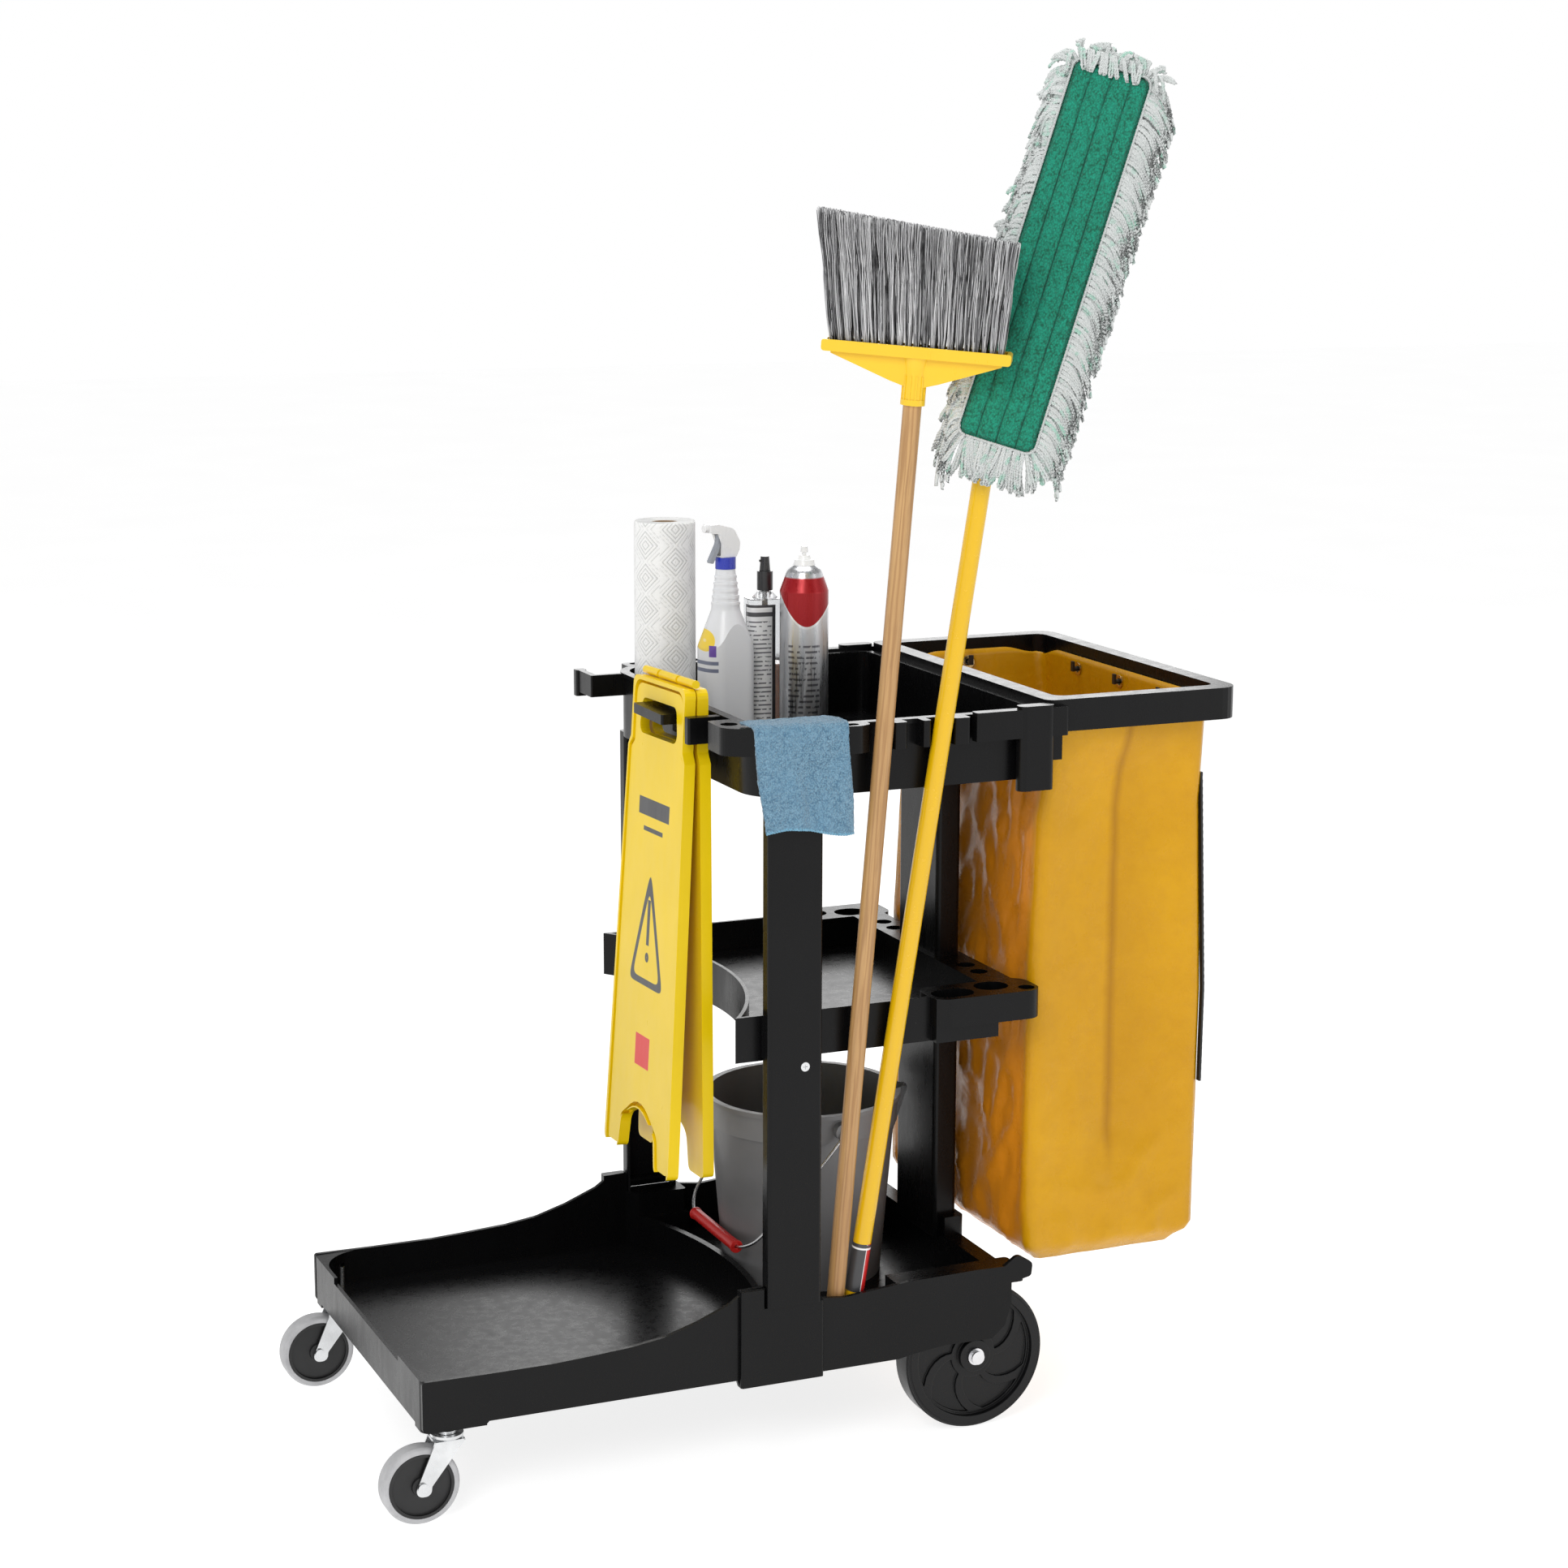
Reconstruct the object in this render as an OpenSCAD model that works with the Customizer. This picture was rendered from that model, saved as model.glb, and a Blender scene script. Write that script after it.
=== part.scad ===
// Wheeled cleaning caddy: a janitor's cart with deck, shelf, tray and bag frame,
// carrying a broom, a dust mop, a folding floor sign, a bucket and supplies.
// Cart coordinates: x = 0 at the caster wheels, +X towards the bag, y = 0 mid-plane, z = 0 floor.

/* [Platform] */
// Length of the platform from front wall to rear wall
base_length = 827; // [780:1:870]
// Half of the platform width
base_half_width = 254; // [240:1:270]
// Height of the front deck floor
deck_z = 140; // [135:1:150]
// Height of the bucket well floor
well_z = 150; // [145:1:160]
// Moulded wall thickness
wall = 4; // [3:0.5:6]

/* [Posts and shelf] */
// Top of the posts, under the tray
post_top = 882; // [860:1:900]
// Top edge of the middle shelf
shelf_top = 600; // [560:1:640]
// Floor of the middle shelf
shelf_floor = 560; // [540:1:590]

/* [Tray] */
// Top rim of the tray
tray_top = 972; // [940:1:990]
// Upper face of the tray floor
tray_floor = 886; // [870:1:900]
// Half width of the tray body
tray_half_width = 262; // [240:1:275]

/* [Bag and frame] */
// Top of the bag frame rim
rim_top = 983; // [950:1:1000]
// Outer end of the bag frame
rim_end = 1133; // [1100:1:1160]
// Underside of the bag at the outer end
bag_bottom = 200; // [180:1:240]

/* [Wheels] */
// Rear wheel diameter
rear_wheel_d = 200; // [180:1:220]
// Front caster wheel diameter
caster_wheel_d = 100; // [90:1:120]
// Distance from swivel axis to caster wheel axis
caster_trail = 37; // [25:1:45]

/* [Tools carried] */
// Broom handle diameter
broom_d = 23; // [20:0.5:26]
// Mop handle diameter
mop_d = 24; // [20:0.5:26]
// Turn of the broom head about its handle
broom_turn = -30; // [-30:1:0]

/* [Hidden] */
$fn = 48;
eps = 0.01;
// Centre of the whole object's bounding box in cart coordinates
cart_x = -541.5;
cart_y = 57.03;

caster_y = 242;
axle_x = 768;
axle_z = rear_wheel_d / 2;
post_x0 = 460;
post_x1 = 535;

broom_foot = [566.4, -230, 152];
broom_dir = [37.9, -54.8, 765];
broom_reach = 1230;
mop_foot = [590, -227.2, 152];
mop_dir = [94.8, -51, 757];
mop_reach = 1200;

pad_centre = [807, -337, 1545];
pad_lean = 19;
pad_roll = 30;
pad_len = 478;
pad_wid = 100;
fringe = 54;

bucket_c = [640, 38];
bucket_floor = 150.2;
bucket_h = 256;
bucket_r0 = 109;
bucket_r1 = 130;
bail_z = 384;
bail_drop = 52;

// ---------------------------------------------------------------- helpers

module on_cart() {
    translate([cart_x, cart_y, 0]) children();
}

module slab_xy(z0, z1) {
    translate([0, 0, z0]) linear_extrude(z1 - z0) children();
}

module slab_xz(y0, y1) {
    translate([0, y1, 0]) rotate([90, 0, 0]) linear_extrude(y1 - y0) children();
}

module slab_yz(x0, x1) {
    translate([x0, 0, 0]) rotate([90, 0, 90]) linear_extrude(x1 - x0) children();
}

module box(x0, x1, y0, y1, z0, z1) {
    translate([x0, y0, z0]) cube([x1 - x0, y1 - y0, z1 - z0]);
}

// Rectangle with four equal round corners
module rrect(x0, x1, y0, y1, r) {
    translate([x0 + r, y0]) square([x1 - x0 - 2 * r, y1 - y0]);
    translate([x0, y0 + r]) square([x1 - x0, y1 - y0 - 2 * r]);
    for (x = [x0 + r, x1 - r], y = [y0 + r, y1 - r])
        translate([x, y]) circle(r);
}

// Rectangle whose two corners at x0 have one radius and those at x1 another
module rrect2(x0, x1, y0, y1, ra, rb) {
    m = (x0 + x1) / 2;
    translate([x0 + ra, y0]) square([m - x0 - ra + eps, y1 - y0]);
    translate([x0, y0 + ra]) square([m - x0 + eps, y1 - y0 - 2 * ra]);
    translate([m - eps, y0]) square([x1 - rb - m + eps, y1 - y0]);
    translate([m - eps, y0 + rb]) square([x1 - m + eps, y1 - y0 - 2 * rb]);
    for (y = [y0 + ra, y1 - ra]) translate([x0 + ra, y]) circle(ra);
    for (y = [y0 + rb, y1 - rb]) translate([x1 - rb, y]) circle(rb);
}

function unit(v) = v / norm(v);

function turn(a) = a > 180 ? a - 360 : (a < -180 ? a + 360 : a);

// Points of one rounded corner at p1
function corner(p0, p1, p2, r, n) =
    let (
        a = unit([p0[0] - p1[0], p0[1] - p1[1]]),
        b = unit([p2[0] - p1[0], p2[1] - p1[1]]),
        half = acos(a * b) / 2,
        c = [p1[0], p1[1]] + unit(a + b) * r / sin(half),
        s = [p1[0], p1[1]] + a * r / tan(half),
        e = [p1[0], p1[1]] + b * r / tan(half),
        a0 = atan2(s[1] - c[1], s[0] - c[0]),
        da = turn(atan2(e[1] - c[1], e[0] - c[0]) - a0)
    )
    [for (i = [0:n]) c + r * [cos(a0 + da * i / n), sin(a0 + da * i / n)]];

// Closed outline from [x, y, radius] corners
function outline(p, n = 5) =
    let (m = len(p))
    [for (i = [0:m - 1])
        each p[i][2] == 0
            ? [[p[i][0], p[i][1]]]
            : corner(p[(i + m - 1) % m], p[i], p[(i + 1) % m], p[i][2], n)];

// Turns local +Z onto a direction without turning about that direction
module along(d) {
    az = atan2(d[1], d[0]);
    tilt = atan2(norm([d[0], d[1]]), d[2]);
    rotate([0, tilt, az]) rotate([0, 0, -az]) children();
}

module cyl_y(x, y0, y1, z, r) {
    translate([x, y1, z]) rotate([90, 0, 0]) cylinder(r = r, h = y1 - y0);
}

module both_sides() {
    children();
    mirror([0, 1, 0]) children();
}

// ---------------------------------------------------------------- platform

arc_x = -30;
arc_r = 547;

module side_outline() {
    polygon(outline([
        [3, 118, 6], [84, 117, 3], [90, 123, 0], [258, 126, 0], [420, 131, 0], [425, 113, 2],
        [476, 113, 2], [482, 116, 0], [652, 116, 0], [674, 120, 4], [719, 125, 0],
        [789, 124, 10], [808, 140, 10], [817, 170, 8], [817, 198, 4], [846, 204, 5],
        [848, 222, 8], [826, 236, 10], [806, 222, 8], [765, 223, 0], [665, 221, 0],
        [572, 213, 0], [541, 217, 0], [459, 217, 0], [459, 244, 2], [436, 243, 4],
        [413, 227, 20], [368, 209, 0], [324, 196, 60], [280, 190, 0], [215, 186, 0],
        [150, 183, 0], [90, 181, 0], [86, 184, 2], [3, 185, 4]
    ]));
}

module platform_plan() {
    rrect2(3, 830, -base_half_width, base_half_width, 14, 8);
}

// Well in front of the raised arc
module deck_plan() {
    intersection() {
        rrect2(8, 620, -base_half_width + 6, base_half_width - 6, 62, 4);
        translate([arc_x, 0]) circle(arc_r, $fn = 200);
    }
}

// Well behind the raised arc, clear of the wheel housings
module well_plan() {
    difference() {
        rrect(300, 806, -base_half_width + 8, base_half_width - 8, 14);
        translate([arc_x, 0]) circle(arc_r + 9, $fn = 200);
        for (s = [-1, 1])
            translate([744, s * 228]) square([176, 54], center = true);
        for (s = [-1, 1])
            translate([495, s * 240]) square([96, 44], center = true);
    }
}

module base_platform() {
    color([0.03, 0.03, 0.03])
    difference() {
        union() {
            // side walls with the moulded silhouette
            for (s = [-1, 1])
                slab_xz(s * (base_half_width - 3) - 3, s * (base_half_width - 3) + 3) side_outline();
            // tub between the side walls
            slab_xy(122, 176) difference() {
                platform_plan();
                translate([744, 0]) square([300, 0.1], center = true);
            }
            slab_xy(176, 184) difference() {
                platform_plan();
                translate([-10, -150]) square([30, 300]);
            }
            // front corner blocks
            for (s = [-1, 1])
                slab_xy(117, 184) intersection() {
                    platform_plan();
                    translate([43, s * 238]) square([86, 36], center = true);
                }
            // post sockets
            both_sides() {
                slab_xy(113, 217) rrect(425, 541, -262, -224, 4);
                slab_xy(113, 243) rrect(425, 459, -262, -236, 4);
            }
            // rear end above the tub and its raised middle
            slab_xy(120, 206) rrect2(560, 830, -base_half_width, base_half_width, 2, 8);
            slab_xy(200, 232) rrect(788, 836, -74, 74, 8);
            // wheel housings
            both_sides() slab_xy(184, 214) rrect(652, 836, -base_half_width, -200, 6);
        }
        // deck pocket and bucket well
        slab_xy(deck_z, 300) deck_plan();
        slab_xy(well_z, 300) well_plan();
        // column socket
        slab_xy(200, 260) rrect(794.8, 830.2, -60.2, 60.2, 6);
        // post sockets under the post ends
        // underside, open below the floors
        slab_xy(100, deck_z - wall) intersection() {
            rrect2(8, 620, -base_half_width + 6, base_half_width - 6, 12, 4);
            difference() {
                translate([arc_x, 0]) circle(arc_r + 4, $fn = 200);
                for (s = [-1, 1]) translate([43, s * 240]) square([96, 80], center = true);
            }
        }
        slab_xy(100, well_z - wall) difference() {
            translate([540, -190]) square([280, 380]);
            for (y = [-95, 0, 95]) translate([540, y - 2]) square([280, 4]);
            translate([axle_x - 16, -190]) square([32, 8]);
            translate([axle_x - 16, 182]) square([32, 8]);
        }
        both_sides() slab_xy(100, well_z - wall) rrect(560, 645, -248, -206, 4);
        // wheel housings, open below and behind
        both_sides() {
            cyl_y(axle_x, -base_half_width + 4, -203, axle_z, 107);
            box(661, 875, -base_half_width + 4, -203, 0, axle_z + 20);
            box(817, 875, -base_half_width - 4, -203, 60, 198);
        }
        // wheel arches and stepped underside cut through the outer silhouette
        both_sides() slab_xz(-base_half_width - 10, -base_half_width + 4.5)
            polygon([[654, 60], [654, 116], [674, 120], [719, 125], [789, 124], [808, 140],
                     [817, 170], [817, 198], [900, 198], [900, 60]]);
        // caster mounting holes
        for (s = [-1, 1])
            translate([caster_trail, s * caster_y, 100]) cylinder(r = 5.6, h = 70);
    }
    color([0.03, 0.03, 0.03]) both_sides() difference() {
        // axle hangers
        slab_xz(-203, -197) polygon(outline([
            [axle_x - 30, 150, 0], [axle_x - 20, 84, 12], [axle_x + 20, 84, 12],
            [axle_x + 30, 150, 0]
        ]));
        cyl_y(axle_x, -210, -190, axle_z, 6.45);
    }
}

// ---------------------------------------------------------------- posts, column, shelf

module front_post() {
    difference() {
        slab_xy(217.2, post_top) difference() {
            rrect(post_x0, post_x1, -266, -244, 5);
            rrect(post_x0 + 4, post_x1 - 4, -262, -230, 2);
        }
        translate([511, -262, 534]) rotate([90, 0, 0]) cylinder(r1 = 2.2, r2 = 6.4, h = 4.2);
    }
    // stiffening web ends
    for (z = [230, 400, 545, 700, 860])
        slab_xy(z, z + 4) rrect(post_x0 + 3, post_x1 - 3, -264, -246, 2);
}

module front_post_near() {
    color([0.03, 0.03, 0.03]) front_post();
}

module front_post_far() {
    color([0.03, 0.03, 0.03]) mirror([0, 1, 0]) front_post();
}

module rear_column() {
    color([0.03, 0.03, 0.03])
    slab_xy(200.2, post_top - 0.2) difference() {
        rrect(795, 830, -60, 60, 6);
        rrect(799, 826, -56, 56, 3);
    }
}

shelf_arc_x = 106;
shelf_arc_r = 400;

module shelf_plan(grow = 0) {
    difference() {
        union() {
            rrect2(420, 793 + grow, -241 - grow, 241 + grow, 2, 16);
            for (s = [-1, 1])
                translate([745, s * 226]) square([90 + grow, 60 + grow], center = true);
        }
        translate([shelf_arc_x, 0]) circle(shelf_arc_r - grow, $fn = 160);
    }
}

module shelf_strip_plan() {
    // side cup holders and rear strip
    for (s = [-1, 1])
        translate([0, s * 230]) rrect(697, 852, -34, 34, 22);
    rrect(770, 838, -240, 240, 10);
}

module middle_shelf() {
    color([0.03, 0.03, 0.03])
    difference() {
        union() {
            slab_xy(541, shelf_top) shelf_plan(0);
            slab_xy(562, shelf_top) shelf_strip_plan();
            // shoulder wings that meet the posts
            for (s = [-1, 1])
                box(462, 533, s * 240 - 3.8, s * 240 + 3.8, 545, 598);
        }
        // shelf well
        slab_xy(shelf_floor, 650) difference() {
            rrect2(426, 789, -236, 236, 8, 14);
            translate([shelf_arc_x, 0]) circle(shelf_arc_r + 5, $fn = 160);
            for (s = [-1, 1]) translate([0, s * 230]) rrect(697, 852, -34, 34, 22);
        }
        // hollow underside
        slab_xy(500, shelf_floor - 5) difference() {
            rrect2(426, 788, -236, 236, 8, 12);
            translate([shelf_arc_x, 0]) circle(shelf_arc_r + 5, $fn = 160);
            for (y = [-118, 0, 118]) translate([420, y - 1.5]) square([400, 3]);
        }
        // bottle and cup holes
        for (s = [-1, 1]) {
            translate([0, s * 235]) slab_xy(572, 650) rrect(704, 762, -19, 19, 18.9);
            translate([0, s * 222]) slab_xy(572, 650) rrect(772, 818, -20, 20, 19.9);
            translate([835, s * 246, 572]) cylinder(r = 11, h = 60);
        }
        for (y = [-150, -112, 112, 150])
            translate([814, y, 572]) cylinder(r = 12, h = 60);
        // passage for the rear column
        slab_xy(500, 650) rrect(794.8, 830.2, -60.2, 60.2, 6);
    }
}

// ---------------------------------------------------------------- tray

module tray_plan(inset = 0) {
    rrect2(447 + inset, 842 - inset, -tray_half_width + inset, tray_half_width - inset,
           60 - inset, 26 - min(inset, 12));
}

function cup_outline() = outline([
    [411, -182, 6], [409, -238, 20], [446, -262, 20], [575, -288, 14], [592, -280, 9],
    [594, -250, 0], [520, -240, 0], [470, -182, 0]
]);

// Strip at the near front corner, then a plain strip on the far side
module cup_strip_near() {
    slab_xy(937, tray_top) difference() {
        polygon(cup_outline());
        for (p = [[428, -214, 11], [452, -246, 9.5]])
            translate([p[0], p[1]]) circle(p[2]);
        rrect(540, 578, -281, -266.5, 7);
    }
    slab_xy(937, 944) polygon(cup_outline());
}

module cup_strip_far() {
    slab_xy(937, tray_top) difference() {
        rrect(470, 594, 250, 287, 8);
        for (x = [480, 540]) rrect(x, x + 46, 267, 282, 7);
    }
    slab_xy(937, 944) rrect(470, 594, 250, 287, 8);
}

module clip_fingers() {
    for (x = [[623, 641], [663, 674], [707, 729]])
        slab_xy(938, tray_top)
            rrect2(x[0], x[1], -285, -256, 4, 4);
}

module tray_arm_near() {
    slab_xy(937, 971) {
        rrect(398, 420, -152, -138, 3);
        translate([416, -152]) square([36, 8]);
    }
    slab_xy(941, 971) rrect(398, 452, -147, -139, 2);
}

// Arm at the far front corner, turned outwards
module tray_arm_far() {
    slab_xy(941, 971) {
        rrect(398, 480, 206, 214, 2);
        rrect(398, 407, 206, 268, 2);
    }
    slab_xy(935, 971) rrect(395, 410, 256, 270, 3);
}

module top_tray() {
    color([0.03, 0.03, 0.03])
    difference() {
        union() {
            slab_xy(882, tray_top) tray_plan(0);
            slab_xy(tray_top - 6, tray_top) tray_plan(-4);
            cup_strip_near();
            cup_strip_far();
            clip_fingers();
            mirror([0, 1, 0]) clip_fingers();
            tray_arm_near();
            tray_arm_far();
            // ribs under the floor
            for (y = [-180, -90, 0, 90, 180])
                box(520, 760, y - 2, y + 2, 878, 883);
        }
        slab_xy(tray_floor, 1100) tray_plan(9);
    }
}

module sign_hook() {
    color([0.03, 0.03, 0.03]) {
        difference() {
            slab_xy(953, 966) rrect(386, 447, -90, 12, 3);
            slab_xy(950, 961) rrect(392, 441, -84, 6, 2);
        }
        box(441, 446.8, -90, 12, 925, 965.9);
    }
}

// ---------------------------------------------------------------- bag frame and bag

module bag_frame() {
    color([0.03, 0.03, 0.03]) {
        difference() {
            union() {
                slab_xy(941, rim_top) polygon(outline([
                    [846, -270, 14], [rim_end, -270, 28], [rim_end, 270, 28], [846, 270, 14]
                ]));
                // side arms along the tray
                both_sides() {
                    slab_xy(939, 976) rrect(738, 870, -284, -267.2, 4);
                    slab_xy(870, 980) rrect(800, 850, -286, -266.2, 9);
                    box(846, 868, -270, -250, 905, 945);
                }
            }
            // opening above the bag
            slab_xy(900, 1000) rrect(872, rim_end - 24, -244, 244, 16);
            // hollow underside of the rim
            slab_xy(900, rim_top - 5) difference() {
                polygon(outline([
                    [851, -266, 10], [rim_end - 4, -266, 24], [rim_end - 4, 266, 24],
                    [851, 266, 10]
                ]));
                rrect(867, rim_end - 20, -249, 249, 18);
                translate([840, -260]) square([30, 520]);
            }
        }
    }
}

// Eyelets in the bag wall: x, y, outward direction, slope of the wall there
eyelets = [
    [1103.6, -120, 0, -2.4], [1103.6, 0, 0, -2.4], [1103.6, 120, 0, -2.4],
    [876.2, -120, 180, -3], [876.2, 120, 180, -3], [985, 234.2, 90, 8.5], [985, -234.2, -90, 8.5]
];
eyelet_z = 950;

// Puts local +X along the outward direction of an eyelet
module at_eyelet(e) {
    translate([e[0], e[1], eyelet_z]) rotate([0, 0, e[2]]) children();
}

// Pegs on the inner face of the rim, one through each eyelet
module bag_hooks() {
    color([0.05, 0.05, 0.05])
    for (e = eyelets) {
        reach = e[2] == 0 ? 5.3 : (e[2] == 180 ? 4.1 : 9.7);
        at_eyelet(e) {
            translate([-9, 0, 0]) rotate([0, 90, 0]) cylinder(r = 3.2, h = 9 + reach);
            box(-11, -8, -3.5, 3.5, -3.2, 11);
        }
    }
}

bag_x0 = 876;
bag_x1 = 1104;
bag_y = 238;

module bag_profile(inset = 0) {
    polygon(outline([
        [bag_x0 - 18 + inset, bag_bottom + 24 + inset, 26], [1118 - inset, bag_bottom + inset, 26],
        [1121 - inset, 560, 60], [bag_x1 - inset, 968 + 4 * inset, 0],
        [bag_x0 + inset, 968 + 4 * inset, 0], [bag_x0 - 19 + inset, 600, 60]
    ]));
}

module bag() {
    color([0.95, 0.62, 0.02])
    difference() {
        intersection() {
            slab_xz(-bag_y, bag_y) bag_profile(0);
            slab_xy(bag_bottom - 5, 970) rrect(bag_x0 - 24, 1126, -bag_y, bag_y, 12);
            slab_yz(800, 1200) polygon(outline([
                [-214, bag_bottom, 22], [214, bag_bottom, 22], [216, 820, 0], [bag_y, 968, 0],
                [-bag_y, 968, 0], [-216, 820, 0]
            ]));
        }
        intersection() {
            slab_xz(-bag_y, bag_y) bag_profile(2.2);
            slab_yz(800, 1200) polygon(outline([
                [-212, bag_bottom + 3, 20], [212, bag_bottom + 3, 20], [213.8, 820, 0],
                [bag_y - 1.2, 975, 0], [-bag_y + 1.2, 975, 0], [-213.8, 820, 0]
            ]));
        }
        for (e = eyelets)
            at_eyelet(e) rotate([0, e[3], 0]) rotate([0, 90, 0])
                cylinder(r = 7, h = 16, center = true);
    }
}

module bag_eyelets() {
    color([0.85, 0.7, 0.35])
    for (e = eyelets)
        at_eyelet(e) rotate([0, e[3], 0]) rotate([0, 90, 0]) difference() {
            union() {
                cylinder(r = 6.9, h = 3.8, center = true);
                for (s = [-1, 1])
                    translate([0, 0, s * 1.75]) cylinder(r = 9.5, h = 0.8, center = true);
            }
            cylinder(r = 5, h = 8, center = true);
        }
}

// Outer line of the zip, which follows the bag's wall
function zip_x(z) = z < 560 ? 1123.2 + 1.1 * (z - 430) / 130 : 1124.3 - 12.45 * (z - 560) / 300;

module bag_zipper() {
    color([0.05, 0.05, 0.05]) {
        slab_xz(-214, -206) polygon([
            [1120.0, 430], [1121.1, 560], [1108.65, 860], [1111.85, 860], [1124.3, 560],
            [1123.2, 430]
        ]);
        for (i = [0:42])
            box(zip_x(434 + 10 * i) - 0.6, zip_x(434 + 10 * i) + 1, -212.5, -207.5,
                434 + 10 * i, 439 + 10 * i);
    }
}

// ---------------------------------------------------------------- running gear

module rear_axle() {
    color([0.75, 0.75, 0.75]) cyl_y(axle_x, -252, 252, axle_z, 6.35);
}

module axle_caps() {
    color([0.85, 0.85, 0.85])
    both_sides() translate([axle_x, -247.3, axle_z]) rotate([90, 0, 0]) difference() {
        union() {
            cylinder(r = 11.5, h = 3);
            cylinder(r = 9, h = 9);
        }
        translate([0, 0, -1]) cylinder(r = 6.4, h = 6);
    }
}

// Pocket between two swept spokes
wheel_pocket = [
    for (r = [32:8:80]) r * [cos(sweep(r) + 5), sin(sweep(r) + 5)],
    for (a = [14:9:41]) 80 * [cos(sweep(80) + a), sin(sweep(80) + a)],
    for (r = [80:-8:32]) r * [cos(sweep(r) + 50), sin(sweep(r) + 50)],
    for (a = [38:-12:14]) 32 * [cos(sweep(32) + a), sin(sweep(32) + a)]
];

function sweep(r) = 36 * pow((r - 32) / 48, 1.4);

// Wheel with a rim lip, a recessed face and curved pockets between the spokes
module rear_wheel() {
    wheel_w = 40;
    rotate([90, 0, 0]) difference() {
        union() {
            cylinder(r = rear_wheel_d / 2, h = wheel_w - 8, center = true, $fn = 96);
            for (s = [-1, 1])
                translate([0, 0, s * (wheel_w / 2 - 2)])
                    cylinder(r = rear_wheel_d / 2 - 5, h = 4, center = true, $fn = 96);
            for (s = [-1, 1])
                translate([0, 0, s * (wheel_w / 2 - 3)])
                    cylinder(r = rear_wheel_d / 2 - 2, h = 4, center = true, $fn = 96);
        }
        for (s = [-1, 1]) translate([0, 0, s * (wheel_w / 2)]) difference() {
            cylinder(r = 84, h = 14, center = true, $fn = 96);
            cylinder(r = 22, h = 20, center = true);
        }
        // curved pockets
        for (s = [-1, 1], a = [0:60:300])
            rotate([0, 0, a]) translate([0, 0, s * (wheel_w / 2 - 7)])
                linear_extrude(8, center = true) polygon(wheel_pocket);
        cylinder(r = 6.45, h = 60, center = true);
    }
}

module rear_wheel_near() {
    color([0.04, 0.04, 0.04]) translate([axle_x, -227, axle_z]) rear_wheel();
}

module rear_wheel_far() {
    color([0.04, 0.04, 0.04]) translate([axle_x, 227, axle_z]) mirror([0, 1, 0]) rear_wheel();
}

module at_casters(side) {
    translate([caster_trail, side * caster_y, 0]) children();
}

// Fixed top plates and swivel posts
module caster_mounts() {
    color([0.8, 0.8, 0.82])
    for (s = [-1, 1]) at_casters(s) {
        translate([0, 0, 113.2]) cylinder(r = 13.5, h = 3.6);
        translate([0, 0, 101]) cylinder(r = 5.4, h = 64);
        translate([0, 0, 98]) cylinder(r = 9, h = 3.2, $fn = 6);
    }
}

module caster_fork() {
    // raceway cup and two raked legs
    color([0.82, 0.82, 0.84]) {
        difference() {
            union() {
                translate([0, 0, 106]) cylinder(r1 = 17, r2 = 21, h = 3);
                translate([0, 0, 109]) cylinder(r = 21, h = 3.6);
                slab_xy(103.6, 106.5) rrect(-20, 19, -17, 17, 3);
            }
            cylinder(r = 5.8, h = 200);
        }
        for (s = [-1, 1])
            difference() {
                slab_xz(s * 15.5 - 1.5, s * 15.5 + 1.5) polygon(outline([
                    [-20, 105.5, 0], [19, 105.5, 0], [-caster_trail + 12, 50, 6],
                    [-caster_trail + 11, 38, 8], [-caster_trail - 12, 38, 8]
                ], 6));
                cyl_y(-caster_trail, s * 15.5 - 5, s * 15.5 + 5, 50, 4.1);
            }
    }
}

module caster_fork_near() {
    at_casters(-1) caster_fork();
}

module caster_fork_far() {
    at_casters(1) caster_fork();
}

module caster_bolt() {
    color([0.7, 0.7, 0.72]) {
        cyl_y(-caster_trail, -19, 19, 50, 4);
        for (s = [-1, 1])
            cyl_y(-caster_trail, s * 18.6 - 1.5, s * 18.6 + 1.5, 50, 6.5);
    }
}

module caster_bolt_near() {
    at_casters(-1) caster_bolt();
}

module caster_bolt_far() {
    at_casters(1) caster_bolt();
}

module caster_hub() {
    color([0.05, 0.05, 0.05])
    translate([-caster_trail, 0, 50]) rotate([90, 0, 0]) difference() {
        cylinder(r = 42, h = 26, center = true, $fn = 72);
        for (s = [-1, 1]) translate([0, 0, s * 13]) difference() {
            cylinder(r = 38, h = 8, center = true, $fn = 72);
            cylinder(r1 = 13, r2 = 11, h = 12, center = true);
        }
        cylinder(r = 4.06, h = 40, center = true);
    }
}

module caster_hub_near() {
    at_casters(-1) caster_hub();
}

module caster_hub_far() {
    at_casters(1) caster_hub();
}

module caster_tread() {
    color([0.7, 0.7, 0.7])
    translate([-caster_trail, 0, 50]) rotate([90, 0, 0]) rotate_extrude($fn = 96)
        polygon(outline([[42.05, -13, 0], [48, -13, 3], [50, -9, 2], [50, 9, 2], [48, 13, 3],
                         [42.05, 13, 0]]));
}

module caster_tread_near() {
    at_casters(-1) caster_tread();
}

module caster_tread_far() {
    at_casters(1) caster_tread();
}

module post_screws() {
    color([0.85, 0.85, 0.85])
    both_sides() translate([511, -262.2, 534]) rotate([90, 0, 0]) difference() {
        union() {
            translate([0, 0, -14]) cylinder(r = 2, h = 16);
            cylinder(r1 = 2.1, r2 = 6, h = 3.7);
        }
        for (a = [0, 90])
            rotate([0, 0, a]) translate([-3, -0.5, 2.2]) cube([6, 1, 3]);
    }
}

// ---------------------------------------------------------------- broom

module broom_pose() {
    translate(broom_foot) along(broom_dir) rotate([0, 0, broom_turn]) children();
}

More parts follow.
